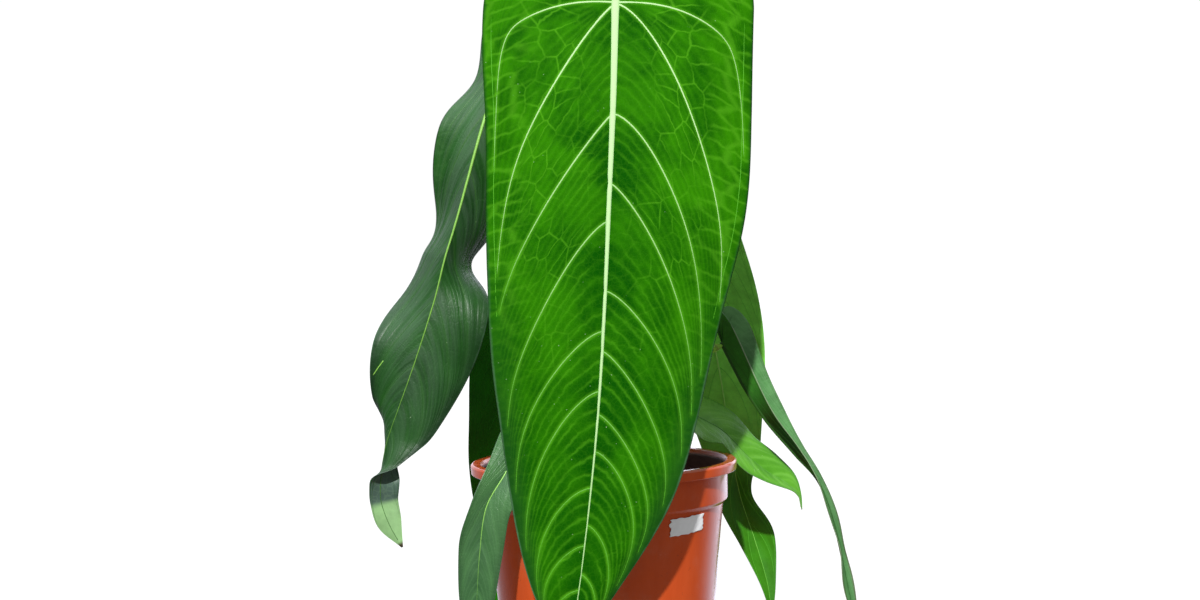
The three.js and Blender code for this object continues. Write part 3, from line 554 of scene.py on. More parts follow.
class Blade:
    """A leaf's surface, by distance along the midrib from the joint and distance across it. Its veins make
    grooves, quilting between them and fine ripples, of the given size."""

    STEPS = 400

    def __init__(self, leaf, veins=((), ()), size=1.0):
        knots = leaf["knots"]
        rows = through(knots, np.linspace(0, 1, self.STEPS + 1))
        steps = np.linalg.norm(np.diff(rows[:, :3], axis=0), axis=1)
        self.alongs = np.concatenate([[0], np.cumsum(steps)])
        self.alongs -= self.alongs[round(self.STEPS / (len(knots) - 1))]
        self.rows = np.hstack([rows, np.gradient(rows[:, :3], axis=0)])
        self.length = self.alongs[-1]
        self.wave = leaf["wave"]
        self.lobe = leaf["lobe"]
        self.size = size
        self.veins = dict(zip(SIDES, veins))
        self.paths = {side: [self.vein_path(v, side) for v in mine] for side, mine in self.veins.items()}

    def row(self, along, *columns):
        """Numbers of the knots between them; columns 12 to 14 are the midrib's direction."""
        return np.stack([np.interp(along, self.alongs, self.rows[:, c]) for c in columns], -1)

    def half(self, along, right):
        halves = np.maximum(self.row(np.maximum(along, 0), 10, 11), TIP_HALF_WIDTH)
        return np.where(right, halves[..., 1], halves[..., 0])

    def midrib(self, along):
        """Place, upper face and side of the midrib."""
        tangent = unit(self.row(along, 12, 13, 14))
        face = self.row(along, 3, 4, 5)
        face = unit(face - tangent * (face * tangent).sum(-1, keepdims=True))
        return self.row(along, 0, 1, 2), face, np.cross(face, tangent)

    def place(self, along, across):
        place, face, side = self.midrib(along)
        right = across >= 0
        width = self.half(along, right)
        share = np.minimum(np.abs(across) / width, 1)
        angles = np.radians(self.row(along, 6, 7, 8, 9))
        fold = np.where(right, angles[..., 1], angles[..., 0])
        curl = np.where(right, angles[..., 3], angles[..., 2])
        curl = np.where(np.abs(curl) < 1e-6, 1e-6, curl)
        bend = fold + curl * share
        height, waves, start = self.wave
        phase = 2 * np.pi * waves * along / self.length + start + HALF_LAG * right
        wave = height * share**2 * np.sin(phase) * np.minimum(1, width / FULL_WAVE_WIDTH)
        out = width * (np.sin(bend) - np.sin(fold)) / curl - wave * np.sin(bend)
        up = width * (np.cos(fold) - np.cos(bend)) / curl + wave * np.cos(bend)
        return place + side * np.where(right, out, -out)[..., None] + face * up[..., None]

    def normal(self, along, across, reach=0.4):
        down = self.place(along + reach, across) - self.place(along - reach, across)
        over = self.place(along, across + reach) - self.place(along, across - reach)
        return unit(np.cross(down, over))

    def lobe_edges(self, side, above):
        """Half widths at which a basal lobe starts and ends, so far above the joint."""
        width = self.half(np.zeros(1), side > 0)[0]
        crown = LOBE_CROWN * width
        climb = np.minimum(above / self.lobe, 1)
        inner = crown * (1 - np.cbrt(1 - climb**3))
        outer = crown + (width - crown) * np.sqrt(1 - climb**2)
        return inner, np.maximum(outer, inner + TIP_HALF_WIDTH)

    def vein_path(self, vein, side, steps=44):
        """Distances along and across of a lateral, in steps that shorten towards the margin."""
        share = vein[-1] * (1 - (1 - np.linspace(0, 1, steps + 1)) ** 1.8)
        along = np.minimum(lateral(vein, share), 0.97 * self.length)
        return along, side * share * self.half(along, side > 0)

    def lobe_path(self, side, spread, climb, steps=26):
        """A vein that fans up from the joint into a basal lobe."""
        t = np.linspace(0, 1, steps + 1)
        above = climb * self.lobe * np.sin(t * np.pi / 2)
        inner, outer = self.lobe_edges(side, above)
        return -above, side * (inner + (outer - inner) * spread * t**0.8)

    def surface(self, along, across):
        """Points, normals and fields: nearness to a lateral, share of the half width, rank and pitch."""
        share = np.abs(across) / self.half(along, across >= 0)
        rank, pitch, near = np.zeros((3, len(along)))
        for side, veins in self.veins.items():
            mine = (across >= 0) == (side > 0)
            rank[mine], pitch[mine] = rank_fields(veins, share[mine], along[mine])
            near[mine] = distance_to(self.paths[side], along[mine], across[mine])
        groove = -VEIN_GROOVE * np.exp(-((near / GROOVE_WIDTH) ** 2))
        off_midrib = 1 - np.exp(-((across / MIDRIB_WIDTH) ** 2))
        quilt = QUILT_HEIGHT * (1 - np.exp(-((near / QUILT_WIDTH) ** 2)))
        ripple = -RIPPLE * np.cos(2 * np.pi * rank) * np.clip((pitch - 4) / 5, 0, 1)
        lift = self.size * (groove + (quilt + ripple) * off_midrib) * np.clip((1 - share) / FLAT_RIM, 0, 1)
        normals = self.normal(along, across)
        return self.place(along, across) + normals * lift[:, None], normals, (near, share, rank, pitch)


def leaf_sheet(blade, rows, strips):
    """The blade's open sheet: points, normals, half thickness, quads and fields."""
    lobe_rows = max(8, round(rows * blade.lobe / blade.length))
    share_row = np.linspace(0, 1, strips + 1)
    signed = np.concatenate([-share_row[::-1], share_row[1:]])
    columns = len(signed)
    alongs = [np.repeat(np.linspace(0, blade.length, rows + 1), columns)]
    signs = np.tile(signed, rows + 1)
    acrosses = [signs * blade.half(alongs[0], signs >= 0)]
    faces = [grid_faces(rows + 1, columns)[:, ::-1]]
    start = len(signs)
    for side in SIDES:
        layout = [np.arange(strips, columns) if side > 0 else np.arange(strips, -1, -1)]
        for r in range(1, lobe_rows + 1):
            above = blade.lobe * math.sin(r / lobe_rows * math.pi / 2)
            inner, outer = blade.lobe_edges(side, above)
            alongs.append(np.full(strips + 1, -above))
            acrosses.append(side * (inner + (outer - inner) * share_row + SEAM))
            layout.append(np.arange(start, start + strips + 1))
            start += strips + 1
        faces.append(quads(np.array(layout))[:, ::side])
    along, across = np.concatenate(alongs), np.concatenate(acrosses)
    points, normals, (near, share, rank, pitch) = blade.surface(along, across)
    edge = np.where(along < 0, np.clip(1 + along / blade.lobe, 0, 1), 1)
    rim = np.minimum((1 - share) * blade.half(along, across >= 0), edge * blade.lobe)
    half = 0.5 * (MARGIN_THICKNESS + (LEAF_THICKNESS - MARGIN_THICKNESS) * np.clip(rim / THIN_RIM, 0, 1))
    fields = {
        "vein_field": np.stack([rank, across / CROSS_UNIT, pitch], -1),
        "leaf_field": np.stack([near, share, along / blade.length], -1),
    }
    return points, normals, half, np.concatenate(faces), fields


def rib(shell, blade, path, half_width, rise, drop, pale, sides=8):
    """A raised vein along a path on the blade: a closed lens, from its drop below to its rise above."""
    places, up, _ = blade.surface(*path)
    side = unit(np.cross(unit(np.gradient(places, axis=0)), up))
    half_width, rise, drop, pale = (np.reshape(v, (-1, 1)) for v in (half_width, rise, drop, pale))
    height = np.where(np.sin(ring(sides)) > 0, rise, drop)
    points, faces = tube(places, side, up, half_width, height, sides)
    flank = 1 - 0.55 * np.cos(ring(sides)) ** 2
    brightness = np.broadcast_to(pale * flank, (len(places), sides)).ravel()
    shell.add(points, faces, 2, vein_field=[[0, 0, 0]], leaf_field=[[0, 0, 0]], pale=brightness)


def add_leaf(name, veins, looks, slot, size=1.0, clarity=1.0, scratches=()):
    """A blade with its midrib, its laterals and its marginal veins as one piece."""
    leaf = LEAVES[name]
    blade = Blade(leaf, veins, size)
    points, normals, half, faces, fields = leaf_sheet(blade, *leaf["grid"])
    doubled = {field: np.concatenate([values, values]) for field, values in fields.items()}
    shell = Shell()
    shell.add(*thickened(points, normals, half, faces), pale=0.0, **doubled)

    # The midrib, from just above the joint to near the tip
    along = np.linspace(-0.6, 0.985 * blade.length, 180)
    t = np.clip(along / blade.length, 0, 1)
    ridge = leaf["ridge"]
    width = ridge * (0.2 + 1.2 * np.clip(1 - t / 0.96, 0, 1) ** 1.5) * (0.45 + 0.55 * size)
    rise = 0.45 + 0.4 * ridge * (1 - t)
    drop = 0.35 + ridge * (1 - 0.85 * t)
    rib(shell, blade, (along, 0 * along), width, rise, drop, 1.1 - (1.3 - 0.8 * size) * t**1.3, sides=14)

    for side in SIDES:
        for path in blade.paths[side]:
            s = np.linspace(0, 1, len(path[0]))
            down = path[0][0] / blade.length
            strong = 1 - 0.82 * np.clip(down / 0.8, 0, 1) ** 0.8
            width = size * (0.3 + 0.7 * strong) * (0.85 - 0.62 * s) * np.clip((1 - s) / 0.06, 0.2, 1)
            fading = 0.75 if down < 0.1 else 1.05
            pale = np.clip(1.1 - fading * s**1.25, 0, 1) * strong * clarity
            rib(shell, blade, path, width, 0.33 + 0.22 * size, 0.3 + size * 0.6 * (1 - 0.6 * s), pale)
        s = np.linspace(0, 1, 121)
        along = (0.02 + 0.91 * s) * blade.length
        ends = np.clip(np.minimum(s, 1 - s) / 0.05, 0.1, 1)
        rise = 0.3 + 0.2 * size * (1 - 1.6 * np.clip((s - 0.4) / 0.2, 0, 1))
        path = (along, side * MARGIN_VEIN * blade.half(along, side > 0))
        rib(shell, blade, path, size * 0.3 * ends, rise, drop=0.4, pale=0, sides=6)
        for spread, climb in ((0.25, 0.8), (0.5, 0.85), (0.75, 0.66)):
            path = blade.lobe_path(side, spread, climb)
            s = np.linspace(0, 1, len(path[0]))
            rib(shell, blade, path, size * (0.7 - 0.5 * s), 0.5, 0.9 - 0.5 * s, clarity * (1 - 0.7 * s))
    for start, end in scratches:
        rib(shell, blade, np.linspace(start, end, 9).T, 0.45, rise=0.5, drop=0.2, pale=1.5, sides=6)
    shell.piece("leaf_" + name, looks, slot, ["blade_" + name])


def leaf_look(name, dark, light, line, rim, roughness, specular, veining=1.0, painted_sheen=0.0):
    """The upper face: quilted green, fine veins in ranks, a net, a rim and a greyer painted sheen in
    streaks.
    """
    look = Look(name, roughness, specular)
    noise, between = look.noise, look.between
    rank, cross, pitch = look.split(look.attribute("vein_field", "Vector"))
    near, share, down = look.split(look.attribute("leaf_field", "Vector"))
    place = look.where()
    wander = noise(place, 70, 2) - 0.5
    ranks = rank + wander * 0.4 + (noise(place, 260, 3) - 0.5) * 0.2

    # Fine veins that run with the laterals, two to a rank
    off_line = look.maths("PINGPONG", ranks, 0.25)
    wide = between(pitch, 4, 8)
    patchy = between(noise(place, 50, 1), 0.3, 0.65, 0.15, 1)
    faint = between(down, 0.3, 0.6, 0.2, 0.8)
    fine = between(off_line * pitch, 0, 2, 1, 0) * wide * patchy
    fine = fine * between(share, 0.15, 0.6, 1, faint) * between(share, 0.72, 0.95, 1, 0.4)

    # A net across them, which turns into short rungs near the margin
    across = look.maths("ABSOLUTE", cross)
    outer = between(share + wander * 0.3, 0.55, 0.8)
    loops = look.join(ranks, down * (0.5 * RUNGS) + across * 0.53, 0)
    inner_net = between(look.cells(loops, 1, dimensions="2D"), 0, 0.07, 1, 0)
    inner_net = inner_net * look.maths("SUBTRACT", 1, outer) * between(pitch, 5, 10)
    inner_net = inner_net * between(share, 0.1, 0.45, 0.15, 0.8)
    inner_net = inner_net * between(noise(place, 38, 1), 0.35, 0.6, 0.15, 1)
    rungs = look.join(down * RUNGS - across * 0.4 + wander * 0.8, cross * 0.45, 3.3)
    outer_net = between(look.cells(rungs, 1, 0.75, dimensions="2D"), 0, 0.17, 0.6, 0)
    net = inner_net + outer_net * outer
    small = between(look.cells(place, 330), 0, 0.12, 1, 0)
    halo = between(near, 0.3, 2.4, 1, 0)

    # Quilting: darker between the fine veins, in soft blotches, and darker down the blade
    mottle = between(noise(place, 34, 4), 0.35, 0.65) * 0.6 + wander * 0.6
    mottle = mottle + between(off_line, 0, 0.25, 0.18, 0) * wide + between(share, 0, 0.5, -0.1, 0.2)
    mottle = (mottle * between(down, 0.2, 1, 1, 0.48)).clipped()
    lines = fine * between(down, 0.3, 0.7, 0.16, 0.3) + net * between(down, 0.3, 0.62, 0.6, 0.14)
    lines = ((lines + halo * 0.4 + small * 0.06) * veining).clipped()
    colour = look.mix(lines, look.mix(mottle, dark, light), line)
    specks = between(look.cells(place, 230, feature="F1"), 0.05, 0.09, 1, 0)
    specks = specks * between(noise(place, 60, 1), 0.55, 0.7) * 0.6
    colour = look.mix(specks, colour, SPECK_COLOUR)

    # Streaks along the laterals, painted a greyer green as a painted sheen, where the face is also a little
    # higher
    streak = between(noise(look.join(rank, cross * 0.3, 1.7), 1.6, 2), 0.35, 0.65)
    sheen_cover = between(down, 0.4, 0.75, painted_sheen, 0.5 * painted_sheen) * between(share, 0.25, 0.85, 1, 0.3)
    colour = look.mix(streak * sheen_cover, colour, PAINTED_SHEEN_COLOUR)

    # A narrow dark rim; a wide and weaker one down the blade, which is painted shade; and a paler lip on the
    # edge, which is a painted sheen
    edge = share + wander * 0.04
    narrow_rim = between(edge, 0.965, 1) * 0.7
    # Painted shade: the wide rim darkens the margin down the blade, where it curls back
    painted_edge_shade = between(edge, 0.62, 1) * between(down, 0.3, 0.8, 0, 0.9)
    colour = look.mix(look.maths("MAXIMUM", narrow_rim, painted_edge_shade), colour, rim)
    # Painted sheen: the paler lip along the very edge
    lip = between(edge, 0.965, 0.995) * between(down, 0.3, 0.7, 0, 0.75)
    colour = look.mix(lip, colour, SHEEN_LIP_COLOUR)
    height = fine * -0.5 + net * -0.35 + small * -0.12 + noise(place, 1600, 3) * 0.16
    return look.painted(colour, height + streak * (3 * painted_sheen), 0.6, 0.3 + 0.3 * veining)


def underside_look(
    name, colour, line, roughness, specular, netting=0.3, painted_lighting=None, painted_lighting_span=(0.5, 0.72), rim=None
):
    """The lower face: duller, with a raised net; it may have a pale rim, and a painted lighting colour
    towards the joint, lighter for painted light and darker for painted shade.
    """
    look = Look(name, roughness, specular)
    place = look.where()
    share, down = look.split(look.attribute("leaf_field", "Vector"))[1:]
    mottle = look.between(look.noise(place, 60, 4), 0.3, 0.7)
    net = look.between(look.cells(place, 260), 0.02, 0.1, 1, 0)
    # Painted lighting: towards the joint, a lighter colour as painted light, a darker one as painted shade
    base = look.mix(look.between(down, *painted_lighting_span), painted_lighting or colour, colour)
    base = look.mix(mottle * 0.28, base, (0, 0, 0))
    base = look.mix(net * netting, base, line)
    if rim:
        base = look.mix(look.between(share, 0.93, 0.98), base, rim)
    base = look.mix(look.between(down, 0.988, 0.996), base, DRY_TIP_COLOUR)
    return look.painted(base, net + look.noise(place, 1400, 3) * 0.4, 0.4, netting)


def rib_look(name, pale, green, roughness, specular):
    """The veins: pale at their strongest, greener where they fade."""
    look = Look(name, roughness, specular)
    streaks = look.noise(look.where(), 400, 3)
    share = look.attribute("pale") + (streaks - 0.5) * 0.3
    return look.painted(look.mix(look.between(share, 0, 1), green, pale), streaks, 0.3, 0.4)


def petiole_look():
    look = Look("petiole_skin", 0.42, 0.4)
    streak = look.noise(look.where((1, 1, 0.15)), 500, 4)
    low = look.between(look.attribute("rise"), 0.02, 0.3, 1, 0)
    flecks = look.between(look.noise(look.where(), 260, 3), 0.6, 0.68)
    colour = look.mix(look.between(streak, 0.3, 0.7), (0.22, 0.5, 0.03), (0.36, 0.68, 0.07))
    colour = look.mix(low, colour, (0.17, 0.12, 0.035))
    colour = look.mix(flecks * 0.4, colour, (0.12, 0.07, 0.025))
    return look.painted(colour, streak, 0.4, 0.5)


SEAT_ROUTE = ((-1.5, -0.3), (3.5, 0.6), (8, 6), (12, 18))  # out of the stem and up from the foot


def add_petiole(name, material):
    """From its seat on the stem, up its own route, to the knee that meets the blade from behind."""
    leaf = LEAVES[name]
    height, azimuth = leaf["foot"]
    sheath = [
        around(STEM, STEM_RADIUS + out, math.radians(azimuth), height + rise)
        for out, rise in SEAT_ROUTE
    ]
    place, face, _ = (parts[0] for parts in Blade(leaf).midrib(np.array([1.5])))
    knee = place - face * (LEAF_THICKNESS / 2 + leaf["ridge"] + KNEE_LENGTH)
    route = [*sheath, *leaf["via"], knee, place - face * 0.4]
    base, middle, swollen = leaf["radius"]

    def radius_at(u):
        flare = np.maximum(0, 1 - u / 0.45) ** 1.2
        swelling = np.exp(-(((u - 0.93) / 0.07) ** 2))
        end = 1 - 0.5 * np.clip((u - 0.95) / 0.05, 0, 1)
        return (middle + (base - middle) * flare + (swollen - middle) * swelling) * end

    shell = Shell()
    rod(shell, route, radius_at, 18, 20 * (len(route) - 1), rise=lambda u: u)
    shell.piece("petiole_of_" + name, [material], "petiole", ["petiole_" + name])


# The pot
def wall_radius(height):
    """Radius of the outer wall below the step."""
    return FOOT_RADIUS + (SHOULDER_RADIUS - FOOT_RADIUS) * height / STEP_HEIGHT


def rounded(profile, radius, steps=5):
    """A profile whose corners are rounded, each by no more than a third of its shorter side."""
    points = [np.array(p, float) for p in profile]
    result = [points[0]]
    for before, corner, after in zip(points, points[1:], points[2:]):
        reach = min(radius, np.linalg.norm(before - corner) / 3, np.linalg.norm(after - corner) / 3)
        start = corner + unit(before - corner) * reach
        end = corner + unit(after - corner) * reach
        for t in np.linspace(0, 1, steps):
            result.append((1 - t) ** 2 * start + 2 * t * (1 - t) * corner + t**2 * end)
    return [*result, points[-1]]


def turned(profile, sides):
    """Points and faces of a solid of revolution, from a profile that starts and ends on the axis."""
    points = [around(AXIS, radius, angle, z) for radius, z in profile[1:-1] for angle in ring(sides)]
    faces = grid_faces(len(profile) - 2, sides, closed=True).tolist()
    first, last = len(points), len(points) + 1
    top = len(points) - sides
    for s in range(sides):
        following = (s + 1) % sides
        faces.append([first, following, s])
        faces.append([last, top + s, top + following])
    return np.array([*points, (*AXIS, profile[0][1]), (*AXIS, profile[-1][1])]), faces


SHARP_ANGLE = math.radians(40)
WALL_MIDDLE_FOOT = (FOOT_RADIUS - POT_WALL / 2) * MM  # the middle of the wall, in metres
WALL_MIDDLE_COLLAR = (COLLAR_RADIUS - POT_WALL / 2) * MM
WALL_SLOPE = (SHOULDER_RADIUS - FOOT_RADIUS) / STEP_HEIGHT


def pot_look():
    look = Look("pot_plastic", 0.34, 0.5)
    noise, between = look.noise, look.between
    place = look.where()
    streak = noise(look.where((1, 1, 0.2)), 60, 4)
    dust = between(noise(place, 35, 5, 0.65), 0.5, 0.75)
    specks = between(noise(place, 420, 2), 0.68, 0.74)
    colour = look.mix(between(streak, 0.3, 0.7), (0.62, 0.082, 0.015), (0.7, 0.1, 0.02))
    colour = look.mix(dust * 0.12, colour, (0.55, 0.26, 0.16))
    colour = look.mix(specks * 0.25, colour, (0.16, 0.05, 0.025))

    # Painted shade: the inside is darker, what lies nearer the axis than the middle of the wall
    x, y, z = look.split(place)
    out = look.maths("SQRT", x * x + y * y)
    collar = between(z, STEP_HEIGHT * MM, COLLAR_FOOT * MM, 0, WALL_MIDDLE_COLLAR)
    middle = look.maths("MAXIMUM", z * WALL_SLOPE + WALL_MIDDLE_FOOT, collar)
    painted_inner_shade = between(middle - out, -0.4 * MM, 0.6 * MM)
    painted_inner_shade = painted_inner_shade * between(z, (POT_TOP - 2) * MM, (POT_TOP - 0.6) * MM, 1, 0)
    colour = look.mix(painted_inner_shade, colour, (0.055, 0.01, 0.004))
    scuffs = between(noise(place, 70, 5, 0.7), 0.3, 0.75, 0.16, 0.28)
    look.set("Roughness", scuffs + painted_inner_shade * 0.4)
    return look.painted(colour, noise(place, 500, 3), 0.08, 0.4)


def add_pot():
    top = POT_TOP
    skirt = top - RIM_DEPTH
    inner = COLLAR_RADIUS - POT_WALL
    profile = [
        (0, 0.6), (FOOT_RADIUS - 5, 0.6), (FOOT_RADIUS - 4.4, 0), (FOOT_RADIUS - 1.5, 0),
        (wall_radius(2), 2), (SHOULDER_RADIUS, STEP_HEIGHT),
        (COLLAR_RADIUS, COLLAR_FOOT), (COLLAR_RADIUS + 0.2, top - 2),
        (RIM_RADIUS - 2, top - 2), (RIM_RADIUS - 1.6, skirt + 0.5), (RIM_RADIUS - 1, skirt),
        (RIM_RADIUS - 0.3, skirt + 0.5), (RIM_RADIUS, top - 1.4), (RIM_RADIUS - 1.2, top),
        (inner + 1.8, top), (inner, top - 4), (inner - 0.4, COLLAR_FOOT + 1),
        (SHOULDER_RADIUS - POT_WALL, STEP_HEIGHT), (wall_radius(POT_FLOOR) - POT_WALL, POT_FLOOR),
        (0, POT_FLOOR),
    ]
    shell = Shell()
    shell.add(*turned(rounded(profile, 0.5), 144))
    pot = shell.piece("pot_shell", [pot_look()], "pot_plastic", ["pot"])
    holes = Shell()
    for i in range(DRAIN_HOLES):
        angle = 2 * math.pi * (i + 0.5) / DRAIN_HOLES
        rod(holes, [around(AXIS, DRAIN_CIRCLE, angle, z) for z in (-4, 3, 10)], DRAIN_RADIUS, 24, 2)
    cutter = mesh_object("cutters", np.concatenate(holes.points), holes.faces)
    cutting = pot.modifiers.new("drain", "BOOLEAN")
    cutting.object = cutter
    cutting.operation = "DIFFERENCE"
    bpy.context.view_layer.update()
    cut = bpy.data.meshes.new_from_object(pot.evaluated_get(bpy.context.evaluated_depsgraph_get()))
    pot.modifiers.clear()
    pot.data = cut
    bpy.data.objects.remove(cutter)

    # Shading stays smooth but at edges sharper than an angle
    edit = bmesh.new()
    edit.from_mesh(cut)
    for edge in edit.edges:
        edge.smooth = len(edge.link_faces) == 2 and edge.calc_face_angle(0) < SHARP_ANGLE
    edit.to_mesh(cut)
    edit.free()


# The label, with its ends in degrees from the front
LABEL_FROM = 32
LABEL_TO = 53
LABEL_LOW = 118
LABEL_HIGH = 129.3
LABEL_SAG = 1.2
LABEL_ROWS = 22
LABEL_COLUMNS = 64


def label_look():
    look = Look("label_paper", 0.85, 0.2)
    fibres = look.noise(look.where((1, 1, 4)), 700, 4)
    stain = look.between(look.noise(look.where(), 160, 3), 0.45, 0.75)
    colour = look.mix(fibres, (0.9, 0.91, 0.93), (0.97, 0.97, 0.98))
    colour = look.mix(stain * 0.12, colour, (0.6, 0.58, 0.56))
    return look.painted(colour, fibres, 0.2, 0.6)


def add_label():
    """A blank strip with torn ends that follows the wall, a little lower on the left."""
    rng = random.Random(3)

    def torn(depth, knots, steps):
        rows = [[depth * rng.uniform(-1, 1)] for _ in range(knots)]
        return through(rows, np.linspace(0, 1, steps + 1))[:, 0]

    ends = [torn(0.8, 9, LABEL_ROWS) for _ in range(2)]
    edges = [torn(0.35, 14, LABEL_COLUMNS) for _ in range(2)]

    def point_at(r, c):
        rise, share = r / LABEL_ROWS, c / LABEL_COLUMNS
        azimuth = LABEL_FROM + (LABEL_TO - LABEL_FROM) * share
        azimuth += ends[0][r] * (1 - share) ** 4 + ends[1][r] * share**4
        low, high = LABEL_LOW + edges[0][c], LABEL_HIGH + edges[1][c]
        height = low + (high - low) * rise - LABEL_SAG * (1 - share)
        wrinkle = 0.12 * math.sin(19 * share + 5 * rise) + 0.08 * math.sin(31 * share - 9 * rise)
        corner = 0.5 * max(0, share - 0.86) / 0.14 * rise
        radius = wall_radius(height) + GAP + 0.25 + wrinkle * 0.6 + corner
        return around(AXIS, radius, math.radians(azimuth - 90), height)

    shell = Shell()
    shell.add(*upright_sheet(point_at, LABEL_ROWS, LABEL_COLUMNS, 0.1, AXIS))
    shell.piece("paper_label", [label_look()], "label_paper", ["label"])


# The potting mix
CHIPS = 420
PERLITE_GRAINS = 90
MOSS_STRANDS = 46
GOLDEN_ANGLE = math.pi * (3 - math.sqrt(5))
FULL_TURN = 2 * math.pi


def bark_look(name, dark, light, scale):
    look = Look(name, 0.88, 0.3)
    grain = look.noise(look.where((1, 1, 3)), scale, 5, 0.65)
    blotch = look.between(look.noise(look.where(), scale * 0.12, 3), 0.45, 0.7)
    colour = look.mix(look.between(grain, 0.3, 0.7), dark, light)
    look.set("Roughness", look.between(grain, 0.2, 0.8, 0.7, 0.95))
    return look.painted(look.mix(blotch * 0.6, colour, dark), grain, 1.2, 0.9)


def lump(rng, size, count=16):
    """Points and faces of a rough block: the hull of random points."""
    edit = bmesh.new()
    for _ in range(count):
        p = Vector((rng.gauss(0, 1), rng.gauss(0, 1), rng.gauss(0, 1)))
        p = p.normalized() * rng.uniform(0.85, 1.15)
        squared = [math.copysign(abs(c) ** 0.6, c) for c in p]
        edit.verts.new([c * s / 2 for c, s in zip(squared, size)])
    hull = bmesh.ops.convex_hull(edit, input=edit.verts)
    spare = [v for v in hull["geom_interior"] if isinstance(v, bmesh.types.BMVert)]
    bmesh.ops.delete(edit, geom=spare, context="VERTS")
    edit.verts.index_update()
    points = np.array([v.co[:] for v in edit.verts])
    faces = [[v.index for v in face.verts] for face in edit.faces]
    edit.free()
    return points, faces


def turn_of(rng, tilt):
    """A random turn about the vertical, with a tilt of no more than some degrees each way."""
    lean = [math.radians(rng.uniform(-tilt, tilt)) for _ in range(2)]
    turn = Matrix.Rotation(rng.uniform(0, FULL_TURN), 3, "Z")
    turn = turn @ Matrix.Rotation(lean[0], 3, "X") @ Matrix.Rotation(lean[1], 3, "Y")
    return np.array(turn)


def add_mix():
    rng = random.Random(7)
    shell = Shell()
    fit = POT_WALL + GAP
    inner = SHOULDER_RADIUS - fit
    profile = [
        (0, POT_FLOOR + GAP),
        (wall_radius(POT_FLOOR) - fit - 0.2, POT_FLOOR + GAP),
        (inner - 0.1, STEP_HEIGHT - 0.3),
        (inner - 0.1, MIX_HEIGHT - 3),
        (SHOULDER_RADIUS - 12, MIX_HEIGHT - 1.5),
        (0, MIX_HEIGHT - 1),
    ]
    shell.add(*turned(profile, 72))
    for i in range(CHIPS):
        size = (rng.uniform(7, 17), rng.uniform(5, 11), rng.uniform(3, 7))
        points, faces = lump(rng, size)
        reach = size[0] / 2 + 0.5
        radius = STEM_RADIUS + reach + (inner - STEM_RADIUS - 2 * reach) * math.sqrt(rng.random())
        height = MIX_HEIGHT - 1.5 + rng.uniform(-1.5, 3)
        centre = around((0, STEM[1] / 2), radius, i * GOLDEN_ANGLE, height)
        if np.hypot(*centre[:2]) + reach > inner:
            centre[:2] *= (inner - reach) / np.hypot(*centre[:2])
        shell.add(points @ turn_of(rng, 24).T + centre, faces, rng.choice((1, 1, 1, 2, 2)))
    for _ in range(PERLITE_GRAINS):
        points, faces = lump(rng, [rng.uniform(2, 4.5)] * 3, 12)
        radius = STEM_RADIUS + 5 + (inner - STEM_RADIUS - 9) * math.sqrt(rng.random())
        place = around(AXIS, radius, rng.uniform(0, FULL_TURN), MIX_HEIGHT + rng.uniform(0, 3))
        shell.add(points @ turn_of(rng, 90).T + place, faces, 3)
    for _ in range(MOSS_STRANDS):
        place = around(AXIS, rng.uniform(22, 62), rng.uniform(0, FULL_TURN), MIX_HEIGHT + 2.5)
        route = [place]
        heading = rng.uniform(0, FULL_TURN)
        for _ in range(5):
            heading += rng.uniform(-0.9, 0.9)
            place = around(place, rng.uniform(2.5, 5), heading, MIX_HEIGHT + rng.uniform(0.5, 4.5))
            if np.hypot(*place[:2]) < inner - 3:
                route.append(place)
        if len(route) > 2:
            rod(shell, route, rng.uniform(0.25, 0.5), 5, 5 * len(route), 4)
    looks = [
        bark_look("fines", (0.012, 0.007, 0.004), (0.045, 0.024, 0.012), 500),
        bark_look("bark_dark", (0.03, 0.014, 0.007), (0.13, 0.06, 0.03), 420),
        bark_look("bark_light", (0.09, 0.045, 0.02), (0.26, 0.15, 0.075), 420),
        bark_look("perlite", (0.45, 0.43, 0.4), (0.75, 0.74, 0.71), 900),
        bark_look("moss", (0.08, 0.07, 0.02), (0.25, 0.2, 0.07), 600),
    ]
    shell.piece("bark_and_fines", looks, "bark_mix", ["potting_mix"], smooth=False)


# The stem
def stem_look():
    look = Look("stem_bark", 0.75, 0.3)
    grain = look.noise(look.where((1, 1, 0.4)), 300, 5, 0.6)
    blotch = look.between(look.noise(look.where(), 70, 3), 0.4, 0.65)
    colour = look.mix(look.between(grain, 0.3, 0.7), (0.07, 0.035, 0.014), (0.24, 0.15, 0.06))
    return look.painted(look.mix(blotch * 0.5, colour, (0.12, 0.15, 0.035)), grain, 0.8, 0.8)


def fibre_look(name, dark, light):
    look = Look(name, 0.8, 0.25)
    grain = look.noise(look.where((1, 1, 0.12)), 900, 4)
    return look.painted(look.mix(look.between(grain, 0.3, 0.7), dark, light), grain, 0.5, 0.8)


